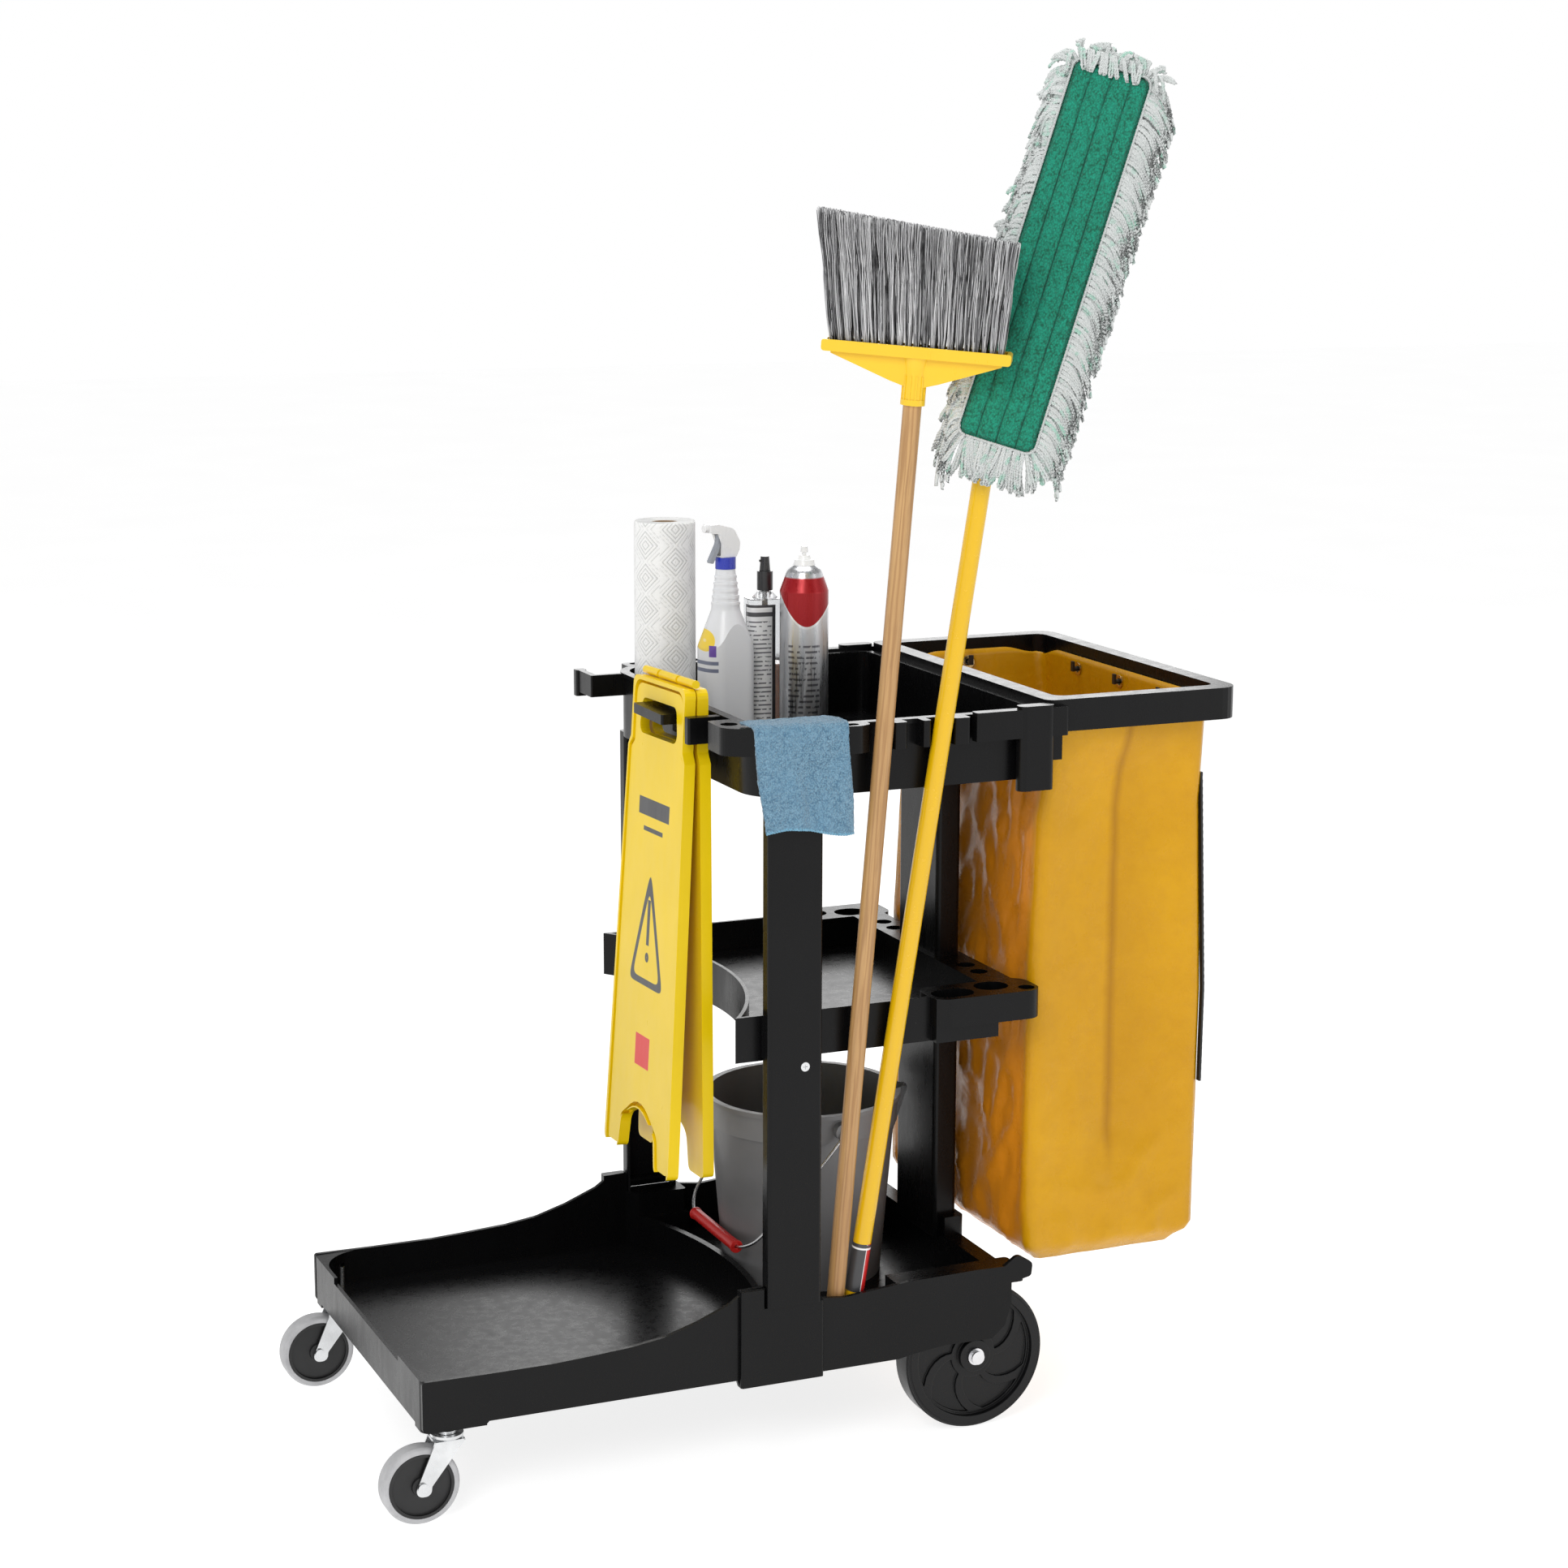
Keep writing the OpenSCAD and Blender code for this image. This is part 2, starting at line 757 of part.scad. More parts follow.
module broom_handle() {
    color([0.75, 0.55, 0.33]) broom_pose() {
        translate([0, 0, 6]) cylinder(d = broom_d, h = broom_reach - 6);
        cylinder(d1 = broom_d - 8, d2 = broom_d, h = 6.01);
    }
}

// Socket, tapering web and the flanged trough that holds the bristles
module broom_cap() {
    color([0.98, 0.85, 0.1]) broom_pose() difference() {
        union() {
            translate([0, 0, broom_reach - 8]) cylinder(r = 14, h = 46);
            translate([0, 0, broom_reach - 8]) cylinder(r = 15.2, h = 7);
            translate([0, 0, broom_reach + 30]) cylinder(r1 = 13, r2 = 17, h = 21);
            for (a = [0:30:330])
                rotate([0, 0, a + 15]) translate([12, -1, broom_reach - 2]) cube([3, 2, 30]);
            slab_xz(-9, 9) polygon(outline([
                [-104, broom_reach + 51, 0], [-104, broom_reach + 47, 1],
                [-30, broom_reach + 20, 24], [-10, broom_reach + 14, 0],
                [10, broom_reach + 14, 0], [30, broom_reach + 20, 24],
                [104, broom_reach + 47, 1], [104, broom_reach + 51, 0]
            ]));
            slab_xz(-20, 20) polygon(outline([
                [-115, broom_reach + 64, 3], [-115, broom_reach + 50, 4],
                [115, broom_reach + 50, 4], [115, broom_reach + 64, 3]
            ]));
        }
        translate([0, 0, broom_reach - 10]) cylinder(d = broom_d + 0.1, h = 38);
        slab_xz(-17, 17) polygon([
            [-107.5, broom_reach + 54.4], [107.5, broom_reach + 54.4],
            [110.5, broom_reach + 70], [-110.5, broom_reach + 70]
        ]);
    }
}

module broom_bristles() {
    color([0.5, 0.5, 0.52]) broom_pose()
        slab_xz(-16.9, 16.9) polygon([
            [-106.5, broom_reach + 54.6], [106.5, broom_reach + 54.6], [110, broom_reach + 196],
            [-131, broom_reach + 219]
        ]);
}

// ---------------------------------------------------------------- dust mop

module mop_pose() {
    translate(mop_foot) along(mop_dir) children();
}

module mop_handle() {
    color([0.98, 0.82, 0.05]) mop_pose() {
        translate([0, 0, 60]) cylinder(d = mop_d, h = mop_reach - 60);
        translate([0, 0, 46]) cylinder(d = mop_d + 1, h = 14.01);
    }
}

module mop_grip() {
    color([0.05, 0.05, 0.05]) mop_pose() {
        translate([0, 0, 4]) cylinder(d = mop_d + 0.6, h = 42);
        cylinder(d1 = mop_d - 5, d2 = mop_d + 0.6, h = 4.01);
    }
}

module mop_sleeve() {
    color([0.75, 0.1, 0.1]) mop_pose() difference() {
        translate([0, 0, 62]) cylinder(d = mop_d + 0.8, h = 66);
        translate([0, 0, 60]) cylinder(d = mop_d, h = 70);
    }
}

// Local pad frame: x across, y through (minus y is the face), z along the pad
module pad_pose() {
    translate(pad_centre) rotate([0, pad_lean, 0]) rotate([0, 0, -pad_roll]) children();
}

// Swivel pin of the mop head in the pad frame: x, z
swivel = [-17, -160];

module mop_connector() {
    color([0.1, 0.1, 0.1]) {
        mop_pose() difference() {
            union() {
                translate([0, 0, mop_reach - 50]) cylinder(r = 14, h = 58);
                translate([0, 0, mop_reach - 50]) cylinder(r = 14.6, h = 5);
            }
            translate([0, 0, mop_reach - 60]) cylinder(d = mop_d + 0.1, h = 60.2);
        }
        // flat tongue with its gusset, and the swivel pin
        pad_pose() {
            box(swivel[0] - 10, swivel[0] + 10, 14.1, 20, -214, swivel[1] + 9);
            slab_yz(swivel[0] - 2, swivel[0] + 3) polygon([[19, -212], [29, -211], [19, -176]]);
            cyl_y(swivel[0], 9.2, 15, swivel[1], 5);
        }
    }
}

module mop_frame() {
    color([0.75, 0.75, 0.78]) pad_pose() {
        slab_xz(8.6, 13.4) difference() {
            rrect(-32.4, 32.4, -202.4, 202.4, 10);
            rrect(-27.6, 27.6, -197.6, 197.6, 5.2);
        }
        // bridge plates, the lower one carries the swivel
        difference() {
            box(-34, 34, 9, 13.2, swivel[1] - 16, swivel[1] + 16);
            cyl_y(swivel[0], 5, 20, swivel[1], 5.06);
        }
        box(-34, 34, 9, 13.2, -8, 8);
    }
}

module mop_pad() {
    color([0.0, 0.5, 0.35]) pad_pose()
        slab_xz(-7, 8) rrect(-pad_wid / 2, pad_wid / 2, -pad_len / 2, pad_len / 2, 12);
}

module mop_fringe() {
    color([0.9, 0.93, 0.9]) pad_pose()
        slab_xz(-8.5, 7.5) difference() {
            rrect(-pad_wid / 2 - fringe, pad_wid / 2 + fringe, -pad_len / 2 - fringe,
                  pad_len / 2 + fringe, 44);
            rrect(-pad_wid / 2, pad_wid / 2, -pad_len / 2, pad_len / 2, 12);
        }
}

// ---------------------------------------------------------------- floor sign

sign_y = -36;
sign_roll = -2;
hinge_x = 420;
hinge_z = 1005;

// Panel outline: x across the sign, y up
module sign_outline() {
    polygon(outline([
        [-118, 366, 9], [-66, 366, 9], [-58, 414, 22], [0, 440, 60], [58, 414, 22],
        [66, 366, 9], [118, 366, 9], [101, 905, 3], [92, 918, 6], [92, 999, 12],
        [-92, 999, 12], [-92, 918, 6], [-101, 905, 3]
    ]));
}

// One leaf, 15 thick, face at local x = -15
module sign_leaf() {
    difference() {
        union() {
            slab_yz(-3.6, 0) sign_outline();
            slab_yz(-15, 0) difference() {
                sign_outline();
                polygon(outline([
                    [-112, 355, 0], [-72, 355, 0], [-64, 408, 20], [0, 446, 60], [64, 408, 20],
                    [72, 355, 0], [112, 355, 0], [97, 905, 3], [86, 915, 4], [86, 994, 18],
                    [-86, 994, 18], [-86, 915, 4], [-97, 905, 3]
                ]));
            }
            // raised face
            slab_yz(-13, 0) polygon(outline([
                [-108, 370, 6], [-74, 370, 6], [-66, 412, 20], [0, 452, 60], [66, 412, 20],
                [74, 370, 6], [108, 370, 6], [94, 902, 6], [82, 912, 6], [82, 990, 18],
                [-82, 990, 18], [-82, 912, 6], [-94, 902, 6]
            ]));
        }
        // handle opening
        slab_yz(-30, 10) polygon(outline([
            [-68, 925, 12], [68, 925, 12], [60, 972, 12], [-60, 972, 12]
        ]));
    }
}

module sign_pose() {
    translate([hinge_x, sign_y, hinge_z]) rotate([sign_roll, 0, 0]) children();
}

module sign_front_panel() {
    color([0.98, 0.88, 0.12])
    sign_pose() rotate([0, 4.2, 0]) translate([-0.5, 0, -hinge_z]) sign_leaf();
}

module sign_rear_panel() {
    color([0.98, 0.86, 0.1])
    sign_pose() rotate([0, 1.2, 0]) translate([0.5, 0, -hinge_z])
        mirror([1, 0, 0]) sign_leaf();
}

module sign_hinge() {
    color([0.9, 0.78, 0.1])
    sign_pose()
        for (y = [[-88, -36], [-30, 30], [36, 88]])
            cyl_y(0, y[0], y[1], 0, 5.4);
}

// ---------------------------------------------------------------- bucket

module on_bucket() {
    translate([bucket_c[0], bucket_c[1], bucket_floor]) children();
}

module bucket() {
    color([0.45, 0.45, 0.47]) on_bucket() {
        difference() {
            union() {
                cylinder(r1 = bucket_r0, r2 = bucket_r1, h = bucket_h - 2, $fn = 96);
                translate([0, 0, bucket_h - 6]) cylinder(r = bucket_r1 + 6, h = 6, $fn = 96);
                translate([0, 0, bucket_h - 40]) cylinder(r = bucket_r1 + 1, h = 36, $fn = 96);
                rotate([0, 0, -14]) spout_body(0, -0.8);
            }
            translate([0, 0, 3])
                cylinder(r1 = bucket_r0 - 3, r2 = bucket_r1 - 2.2, h = bucket_h + 3, $fn = 96);
            rotate([0, 0, -14]) spout_body(3, 12);
        }
        // bail ears
        for (s = [-1, 1]) difference() {
            cyl_y(0, s * (bucket_r1 + 4.5) - 7.5, s * (bucket_r1 + 4.5) + 7.5,
                  bail_z - bucket_floor, 12);
            cyl_y(0, s * bucket_r1 - 16, s * bucket_r1 + 16, bail_z - bucket_floor, 2.27);
            cylinder(r = bucket_r1 - 1, h = bucket_h + 20, $fn = 96);
        }
    }
}

// Pouring lip, pointed in plan and sloping back to the wall
module spout_body(inset, rise) {
    nose = bucket_r1 + 16 - inset;
    side = 30 - inset;
    intersection() {
        slab_xz(-50, 50) polygon([
            [98, bucket_h - 56], [bucket_r1 - 8 - inset, bucket_h - 56], [nose, bucket_h - 3],
            [nose, bucket_h + rise], [98, bucket_h + rise]
        ]);
        slab_xy(bucket_h - 70, bucket_h + rise + 1) polygon([
            [90, -side - 6], [120, -side - 2], [nose - 2, -10], [nose + 2, -4],
            [nose + 2, 4], [nose - 2, 10], [120, side + 2], [90, side + 6]
        ]);
    }
}

// Hanging position of the bail: local x runs down the bail from the ears
module bail_pose() {
    translate([bucket_c[0], bucket_c[1], bail_z]) rotate([0, 180 - bail_drop, 0]) children();
}

bail_path = [
    [-3, -147], [60, -143], [190, -112], [209, -82], [209, 82], [190, 112], [60, 143], [-3, 147]
];

function normal_of(a, b) = let (d = unit(b - a)) [-d[1], d[0]];

function miter(p, i) =
    i == 0 ? normal_of(p[0], p[1])
    : i == len(p) - 1 ? normal_of(p[i - 1], p[i])
    : let (a = normal_of(p[i - 1], p[i]), b = normal_of(p[i], p[i + 1])) (a + b) / (1 + a * b);

// Outline of a strip of width w along a path
function strip(p, w) = concat(
    [for (i = [0:len(p) - 1]) p[i] + miter(p, i) * w / 2],
    [for (i = [len(p) - 1:-1:0]) p[i] - miter(p, i) * w / 2]
);

module bucket_bail() {
    color([0.75, 0.75, 0.75]) bail_pose() {
        slab_xy(-2.2, 2.2) polygon(strip(bail_path, 4.4));
        for (s = [-1, 1])
            cyl_y(0, s * 139 - 7.5, s * 139 + 7.5, 0, 2.2);
    }
}

module bucket_grip() {
    color([0.8, 0.1, 0.08]) bail_pose() difference() {
        translate([209, 0, 0]) rotate([90, 0, 0]) union() {
            cylinder(r = 8, h = 150, center = true);
            for (s = [-1, 1]) translate([0, 0, s * 73]) cylinder(r = 9, h = 4, center = true);
        }
        translate([206.79, -100, -2.21]) cube([4.42, 200, 4.42]);
    }
}

// ---------------------------------------------------------------- supplies

module on_tray(x, y) {
    translate([x, y, tray_floor + 0.2]) children();
}

module towel_core() {
    color([0.6, 0.45, 0.3]) on_tray(500, 190) difference() {
        cylinder(r = 19.9, h = 292);
        translate([0, 0, -1]) cylinder(r = 18, h = 300);
    }
}

module towel_roll() {
    color([0.97, 0.97, 0.96]) on_tray(500, 190) difference() {
        cylinder(r = 42, h = 294, $fn = 72);
        translate([0, 0, -1]) cylinder(r = 20, h = 300);
    }
}

module on_spray() {
    on_tray(554, 104) rotate([0, 0, 14]) children();
}

// Radius of the ribbed neck at a height
function neck_r(z) = 23.5 - 10.5 * (z - 150) / 86;

module spray_bottle() {
    color([0.93, 0.93, 0.95]) on_spray() {
        slab_xy(0, 127) rrect(-38, 38, -26, 26, 20);
        intersection() {
            translate([0, 0, 126]) cylinder(r1 = 40, r2 = 19.2, h = 56);
            slab_xy(126, 183) rrect(-38, 38, -26, 26, 20);
        }
        translate([0, 0, 150]) cylinder(r1 = neck_r(150), r2 = neck_r(236), h = 86);
        for (z = [188:9:224])
            translate([0, 0, z]) cylinder(r1 = neck_r(z) + 0.9, r2 = neck_r(z + 4) + 0.9, h = 4);
        translate([0, 0, 230]) cylinder(r = 11.2, h = 18);
    }
}

module spray_collar() {
    color([0.1, 0.15, 0.6]) on_spray() translate([0, 0, 236.2]) difference() {
        cylinder(r = 13.8, h = 15.8);
        translate([0, 0, -1]) cylinder(r = 11.3, h = 13);
    }
}

// Sprayer body, nozzle pointing away from the grip
module spray_head() {
    color([0.95, 0.95, 0.96]) on_spray() {
        difference() {
            slab_xz(-9, 9) polygon(outline([
                [-12, 252.2, 0], [12, 252.2, 0], [17, 262, 5], [18, 272, 8], [8, 290, 14],
                [-18, 297, 6], [-30, 297, 2], [-30, 286, 2], [-16, 284, 5], [-11, 270, 6]
            ]));
            box(-31, -3, -5, 5, 254, 286);
            cyl_y(-8.5, -7.1, 7.1, 280, 1.56);
        }
        translate([-29, 0, 291.5]) rotate([0, -90, 0]) cylinder(r = 5.2, h = 7);
    }
}

module spray_trigger() {
    color([0.95, 0.95, 0.96]) on_spray() {
        slab_xz(-4, 4) polygon(outline([
            [-13, 283, 2], [-5, 283, 2], [-8, 272, 8], [-23, 244, 2.5], [-29, 246, 2.5],
            [-16, 270, 9]
        ]));
        cyl_y(-8.5, -7, 7, 280, 1.5);
    }
}

module on_mist() {
    on_tray(624, 134) rotate([0, 0, -6]) children();
}

module mist_bottle() {
    color([0.85, 0.88, 0.9, 0.6]) on_mist() difference() {
        union() {
            slab_xy(0, 190) rrect(-27, 27, -20, 20, 12);
            translate([0, 0, 190]) cylinder(r1 = 18, r2 = 10, h = 8);
            translate([0, 0, 196]) cylinder(r = 9, h = 14);
        }
        slab_xy(1.5, 188.5) rrect(-25.5, 25.5, -18.5, 18.5, 10.5);
        translate([0, 0, 170]) cylinder(r = 7.5, h = 60);
    }
}

module mist_liquid() {
    color([0.7, 0.3, 0.08, 0.8]) on_mist()
        slab_xy(1.6, 100) rrect(-25.4, 25.4, -18.4, 18.4, 10.4);
}

// Neck ring, whose cup takes the pressed head
module mist_collar() {
    color([0.06, 0.06, 0.06]) on_mist() difference() {
        translate([0, 0, 200]) cylinder(r = 10.8, h = 26);
        translate([0, 0, 199]) cylinder(r = 9.1, h = 11.2);
        translate([0, 0, 190]) cylinder(r = 4.1, h = 60);
        translate([0, 0, 216]) cylinder(r = 8, h = 20);
    }
}

module mist_pump() {
    color([0.06, 0.06, 0.06]) on_mist() {
        translate([0, 0, 165]) cylinder(r = 4, h = 65);
        translate([0, 0, 226.5]) cylinder(r1 = 7.4, r2 = 5.8, h = 19.5);
        translate([-5, 0, 240]) rotate([0, -90, 0]) cylinder(r = 1.6, h = 3);
    }
}

module on_can() {
    on_tray(660, 83) children();
}

module can_body() {
    color([0.75, 0.76, 0.78]) on_can() {
        rotate_extrude($fn = 72) polygon(outline([
            [0, 0, 0], [31, 0, 0], [33, 2, 1.5], [33, 204, 6], [23, 232, 14], [15, 238, 0],
            [0, 238, 0]
        ], 6));
    }
}

module can_dome() {
    color([0.93, 0.93, 0.93]) on_can() difference() {
        union() {
            translate([0, 0, 238.1]) cylinder(r1 = 15, r2 = 13, h = 8);
            translate([0, 0, 246]) cylinder(r1 = 9, r2 = 7.5, h = 6);
        }
        cylinder(r = 3.1, h = 300);
    }
}

module can_nozzle() {
    color([0.95, 0.95, 0.95]) on_can() {
        translate([0, 0, 242]) cylinder(r = 3, h = 15);
        translate([0, 0, 256]) cylinder(r1 = 5, r2 = 4.4, h = 8);
    }
}

// ---------------------------------------------------------------- cloth

// Folded towel hung over the tray edge
module cloth() {
    color([0.45, 0.68, 0.82])
    slab_yz(432, 566) polygon(outline([
        [-298, 842, 2], [-290.4, 842, 1], [-290.4, 974, 2], [-231, 974, 1], [-231, 981, 5],
        [-296, 981, 8]
    ]));
}

// ---------------------------------------------------------------- sub-part selection

on_cart() base_platform();
on_cart() front_post_near();
on_cart() front_post_far();
on_cart() rear_column();
on_cart() middle_shelf();
on_cart() top_tray();
on_cart() sign_hook();
on_cart() bag_frame();
on_cart() bag_hooks();
on_cart() bag();
on_cart() bag_eyelets();
on_cart() bag_zipper();
on_cart() rear_axle();
on_cart() axle_caps();
on_cart() rear_wheel_near();
on_cart() rear_wheel_far();
on_cart() caster_mounts();
on_cart() caster_fork_near();
on_cart() caster_fork_far();
on_cart() caster_bolt_near();
on_cart() caster_bolt_far();
on_cart() caster_hub_near();
on_cart() caster_hub_far();
on_cart() caster_tread_near();
on_cart() caster_tread_far();
on_cart() post_screws();
on_cart() broom_handle();
on_cart() broom_cap();
on_cart() broom_bristles();
on_cart() mop_handle();
on_cart() mop_grip();
on_cart() mop_sleeve();
on_cart() mop_connector();
on_cart() mop_frame();
on_cart() mop_pad();
on_cart() mop_fringe();
on_cart() sign_front_panel();
on_cart() sign_rear_panel();
on_cart() sign_hinge();
on_cart() bucket();
on_cart() bucket_bail();
on_cart() bucket_grip();
on_cart() towel_core();
on_cart() towel_roll();
on_cart() spray_bottle();
on_cart() spray_collar();
on_cart() spray_head();
on_cart() spray_trigger();
on_cart() mist_bottle();
on_cart() mist_liquid();
on_cart() mist_collar();
on_cart() mist_pump();
on_cart() can_body();
on_cart() can_dome();
on_cart() can_nozzle();
on_cart() cloth();
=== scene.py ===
"""Looks of the housekeeping cart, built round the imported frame."""

import math
import random

import bmesh
import bpy
from mathutils import Matrix, Vector, noise


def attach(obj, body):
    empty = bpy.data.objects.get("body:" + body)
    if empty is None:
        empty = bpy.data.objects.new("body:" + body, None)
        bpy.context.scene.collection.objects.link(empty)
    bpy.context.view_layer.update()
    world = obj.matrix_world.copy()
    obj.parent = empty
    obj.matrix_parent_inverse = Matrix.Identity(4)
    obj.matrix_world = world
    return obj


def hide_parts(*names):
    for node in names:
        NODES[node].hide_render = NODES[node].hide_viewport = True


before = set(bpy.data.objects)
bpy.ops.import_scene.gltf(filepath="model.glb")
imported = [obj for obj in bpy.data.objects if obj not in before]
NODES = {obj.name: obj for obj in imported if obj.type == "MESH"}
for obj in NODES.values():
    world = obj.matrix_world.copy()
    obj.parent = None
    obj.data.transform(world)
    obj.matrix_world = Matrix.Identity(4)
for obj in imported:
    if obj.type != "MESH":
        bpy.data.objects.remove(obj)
SCENE = bpy.context.scene
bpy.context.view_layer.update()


# -------------------- cart coordinates

# Where the cart's own origin lies in the frame, in millimetres
CART_X, CART_Y = -541.5, 57.03


def at(x, y, z):
    """Cart millimetres to frame metres."""
    return Vector(((x + CART_X) / 1000, (y + CART_Y) / 1000, z / 1000))


CART = Matrix.Translation(at(0, 0, 0)) @ Matrix.Scale(0.001, 4)


def along(d):
    """The turn that brings local +Z onto d, without turning about d."""
    az = math.atan2(d[1], d[0])
    tilt = math.atan2(math.hypot(d[0], d[1]), d[2])
    return (Matrix.Rotation(az, 4, "Z") @ Matrix.Rotation(tilt, 4, "Y")
            @ Matrix.Rotation(-az, 4, "Z"))


def turned(axis, degrees):
    return Matrix.Rotation(math.radians(degrees), 4, axis)


BROOM = (CART @ Matrix.Translation((566.4, -230, 152)) @ along((37.9, -54.8, 765))
         @ turned("Z", -30))
BROOM_REACH = 1230
MOP = CART @ Matrix.Translation((590, -227.2, 152)) @ along((94.8, -51, 757))
PAD = CART @ Matrix.Translation((807, -337, 1545)) @ turned("Y", 19) @ turned("Z", -30)
BAIL = CART @ Matrix.Translation((640, 38, 384)) @ turned("Y", 128)
SIGN_TOP = CART @ Matrix.Translation((420, -36, 1005)) @ turned("X", -2)
SIGN_FRONT = SIGN_TOP @ turned("Y", 4.2) @ Matrix.Translation((-0.5, 0, -1005))
TRAY = 886.2


def on_tray(x, y, degrees=0):
    return CART @ Matrix.Translation((x, y, TRAY)) @ turned("Z", degrees)


# -------------------- node helpers

class Nodes:
    """A material's node tree with short calls."""

    def __init__(self, name):
        self.mat = bpy.data.materials.new(name)
        self.mat.use_nodes = True
        self.tree = self.mat.node_tree
        self.bsdf = self.tree.nodes["Principled BSDF"]
        self.coords = self.add("ShaderNodeTexCoord").outputs["Object"]

    def add(self, kind, **values):
        node = self.tree.nodes.new(kind)
        for key, value in values.items():
            setattr(node, key, value)
        return node

    def link(self, a, b):
        self.tree.links.new(a, b)

    def plug(self, socket, value):
        """Links an input to a socket, or gives it a number, vector or colour."""
        if isinstance(value, bpy.types.NodeSocket):
            self.link(value, socket)
        elif socket.type == "RGBA":
            socket.default_value = (*value, 1)
        else:
            socket.default_value = value

    def put(self, name, value):
        self.plug(self.bsdf.inputs[name], value)

    def coat(self, weight, rough):
        self.put("Coat Weight", weight)
        self.put("Coat Roughness", rough)

    def sheen(self, weight, rough):
        self.put("Sheen Weight", weight)
        self.put("Sheen Roughness", rough)

    def placed(self, stretch=(1, 1, 1), matrix=None):
        """Object coordinates, turned into a local frame and stretched."""
        mapping = self.add("ShaderNodeMapping", vector_type="POINT")
        source = self.coords
        if matrix is not None:
            inverse = matrix.inverted()
            mapping.inputs["Location"].default_value = inverse.translation * 0.001
            mapping.inputs["Rotation"].default_value = inverse.to_euler("XYZ")
            self.link(source, mapping.inputs["Vector"])
            source = mapping.outputs[0]
            mapping = self.add("ShaderNodeMapping", vector_type="POINT")
        mapping.inputs["Scale"].default_value = stretch
        self.link(source, mapping.inputs["Vector"])
        return mapping.outputs[0]

    def filled(self, kind, settings, **values):
        """A node with its inputs set by name."""
        node = self.add("ShaderNode" + kind, **values)
        for name, value in settings.items():
            self.plug(node.inputs[name], value)
        return node

    def noise(self, scale, detail=3, rough=0.5, vector=None, distortion=0.0):
        return self.filled("TexNoise", {
            "Scale": scale, "Detail": detail, "Roughness": rough, "Distortion": distortion,
            "Vector": vector or self.coords}).outputs["Fac"]

    def voronoi(self, scale, vector):
        return self.filled("TexVoronoi", {"Scale": scale, "Vector": vector}).outputs["Distance"]

    def wave(self, scale, vector=None, direction="X", distortion=0.0, detail=0, dscale=1.0):
        return self.filled("TexWave", {
            "Scale": scale, "Distortion": distortion, "Detail": detail, "Detail Scale": dscale,
            "Vector": vector or self.coords}, bands_direction=direction).outputs["Fac"]

    def axes(self, matrix):
        """Local coordinates of a placed part, in millimetres."""
        node = self.add("ShaderNodeSeparateXYZ")
        self.link(self.placed((1000, 1000, 1000), matrix), node.inputs[0])
        return node.outputs[:3]

    def band(self, value, low, high, soft=0.3):
        """1 between two limits, with narrow soft edges."""
        return self.maths("MULTIPLY", self.remap(value, low - soft, low + soft, 0, 1),
                          self.remap(value, high - soft, high + soft, 1, 0))

    def both(self, first, *others):
        for other in others:
            first = self.maths("MULTIPLY", first, other)
        return first

    def sum_of(self, *terms):
        """Adds up pairs of (socket, factor) and plain numbers."""
        total = 0.0
        for term in terms:
            if isinstance(term, tuple):
                term = self.maths("MULTIPLY", *term)
            total = self.maths("ADD", term, total)
        return total

    def print_over(self, *marks):
        """Lays (mask, colour) marks over the base colour."""
        under = self.bsdf.inputs["Base Color"].links[0].from_socket
        for mask, colour in marks:
            under = self.mix(mask, under, colour)
        self.put("Base Color", under)

    def attribute(self, name):
        return self.add("ShaderNodeAttribute", attribute_name=name).outputs["Fac"]

    def ramp(self, fac, *stops):
        node = self.add("ShaderNodeValToRGB")
        ramp = node.color_ramp
        while len(ramp.elements) < len(stops):
            ramp.elements.new(0.5)
        for element, (place, colour) in zip(ramp.elements, stops):
            element.position = place
            element.color = (*colour, 1)
        self.link(fac, node.inputs["Fac"])
        return node.outputs["Color"]

    def two_tone(self, fac, low, high):
        return self.ramp(fac, (0.3, low), (0.7, high))

    def remap(self, fac, low, high, to_low, to_high):
        return self.filled("MapRange", {
            "From Min": low, "From Max": high, "To Min": to_low, "To Max": to_high,
            "Value": fac}).outputs["Result"]

    def maths(self, operation, a, b=0.0):
        node = self.add("ShaderNodeMath", operation=operation)
        self.plug(node.inputs[0], a)
        self.plug(node.inputs[1], b)
        return node.outputs[0]

    def mix(self, fac, a, b):
        node = self.add("ShaderNodeMix", data_type="RGBA")
        ends = [socket for socket in node.inputs if socket.type == "RGBA"]
        for socket, value in zip([node.inputs[0]] + ends, (fac, a, b)):
            self.plug(socket, value)
        return next(socket for socket in node.outputs if socket.type == "RGBA")

    def bump(self, *layers):
        """Layers of (height, distance in metres, strength)."""
        last = None
        for height, distance, strength in layers:
            node = self.add("ShaderNodeBump")
            node.inputs["Distance"].default_value = distance
            node.inputs["Strength"].default_value = strength
            self.link(height, node.inputs["Height"])
            if last:
                self.link(last, node.inputs["Normal"])
            last = node.outputs["Normal"]
        self.link(last, self.bsdf.inputs["Normal"])


def material(name):
    """Makes the function below into a material of that name."""
    def build(fill):
        n = Nodes(name)
        fill(n)
        return n
    return build


def shaded(colour, amount):
    return tuple(min(1, c * amount) for c in colour)


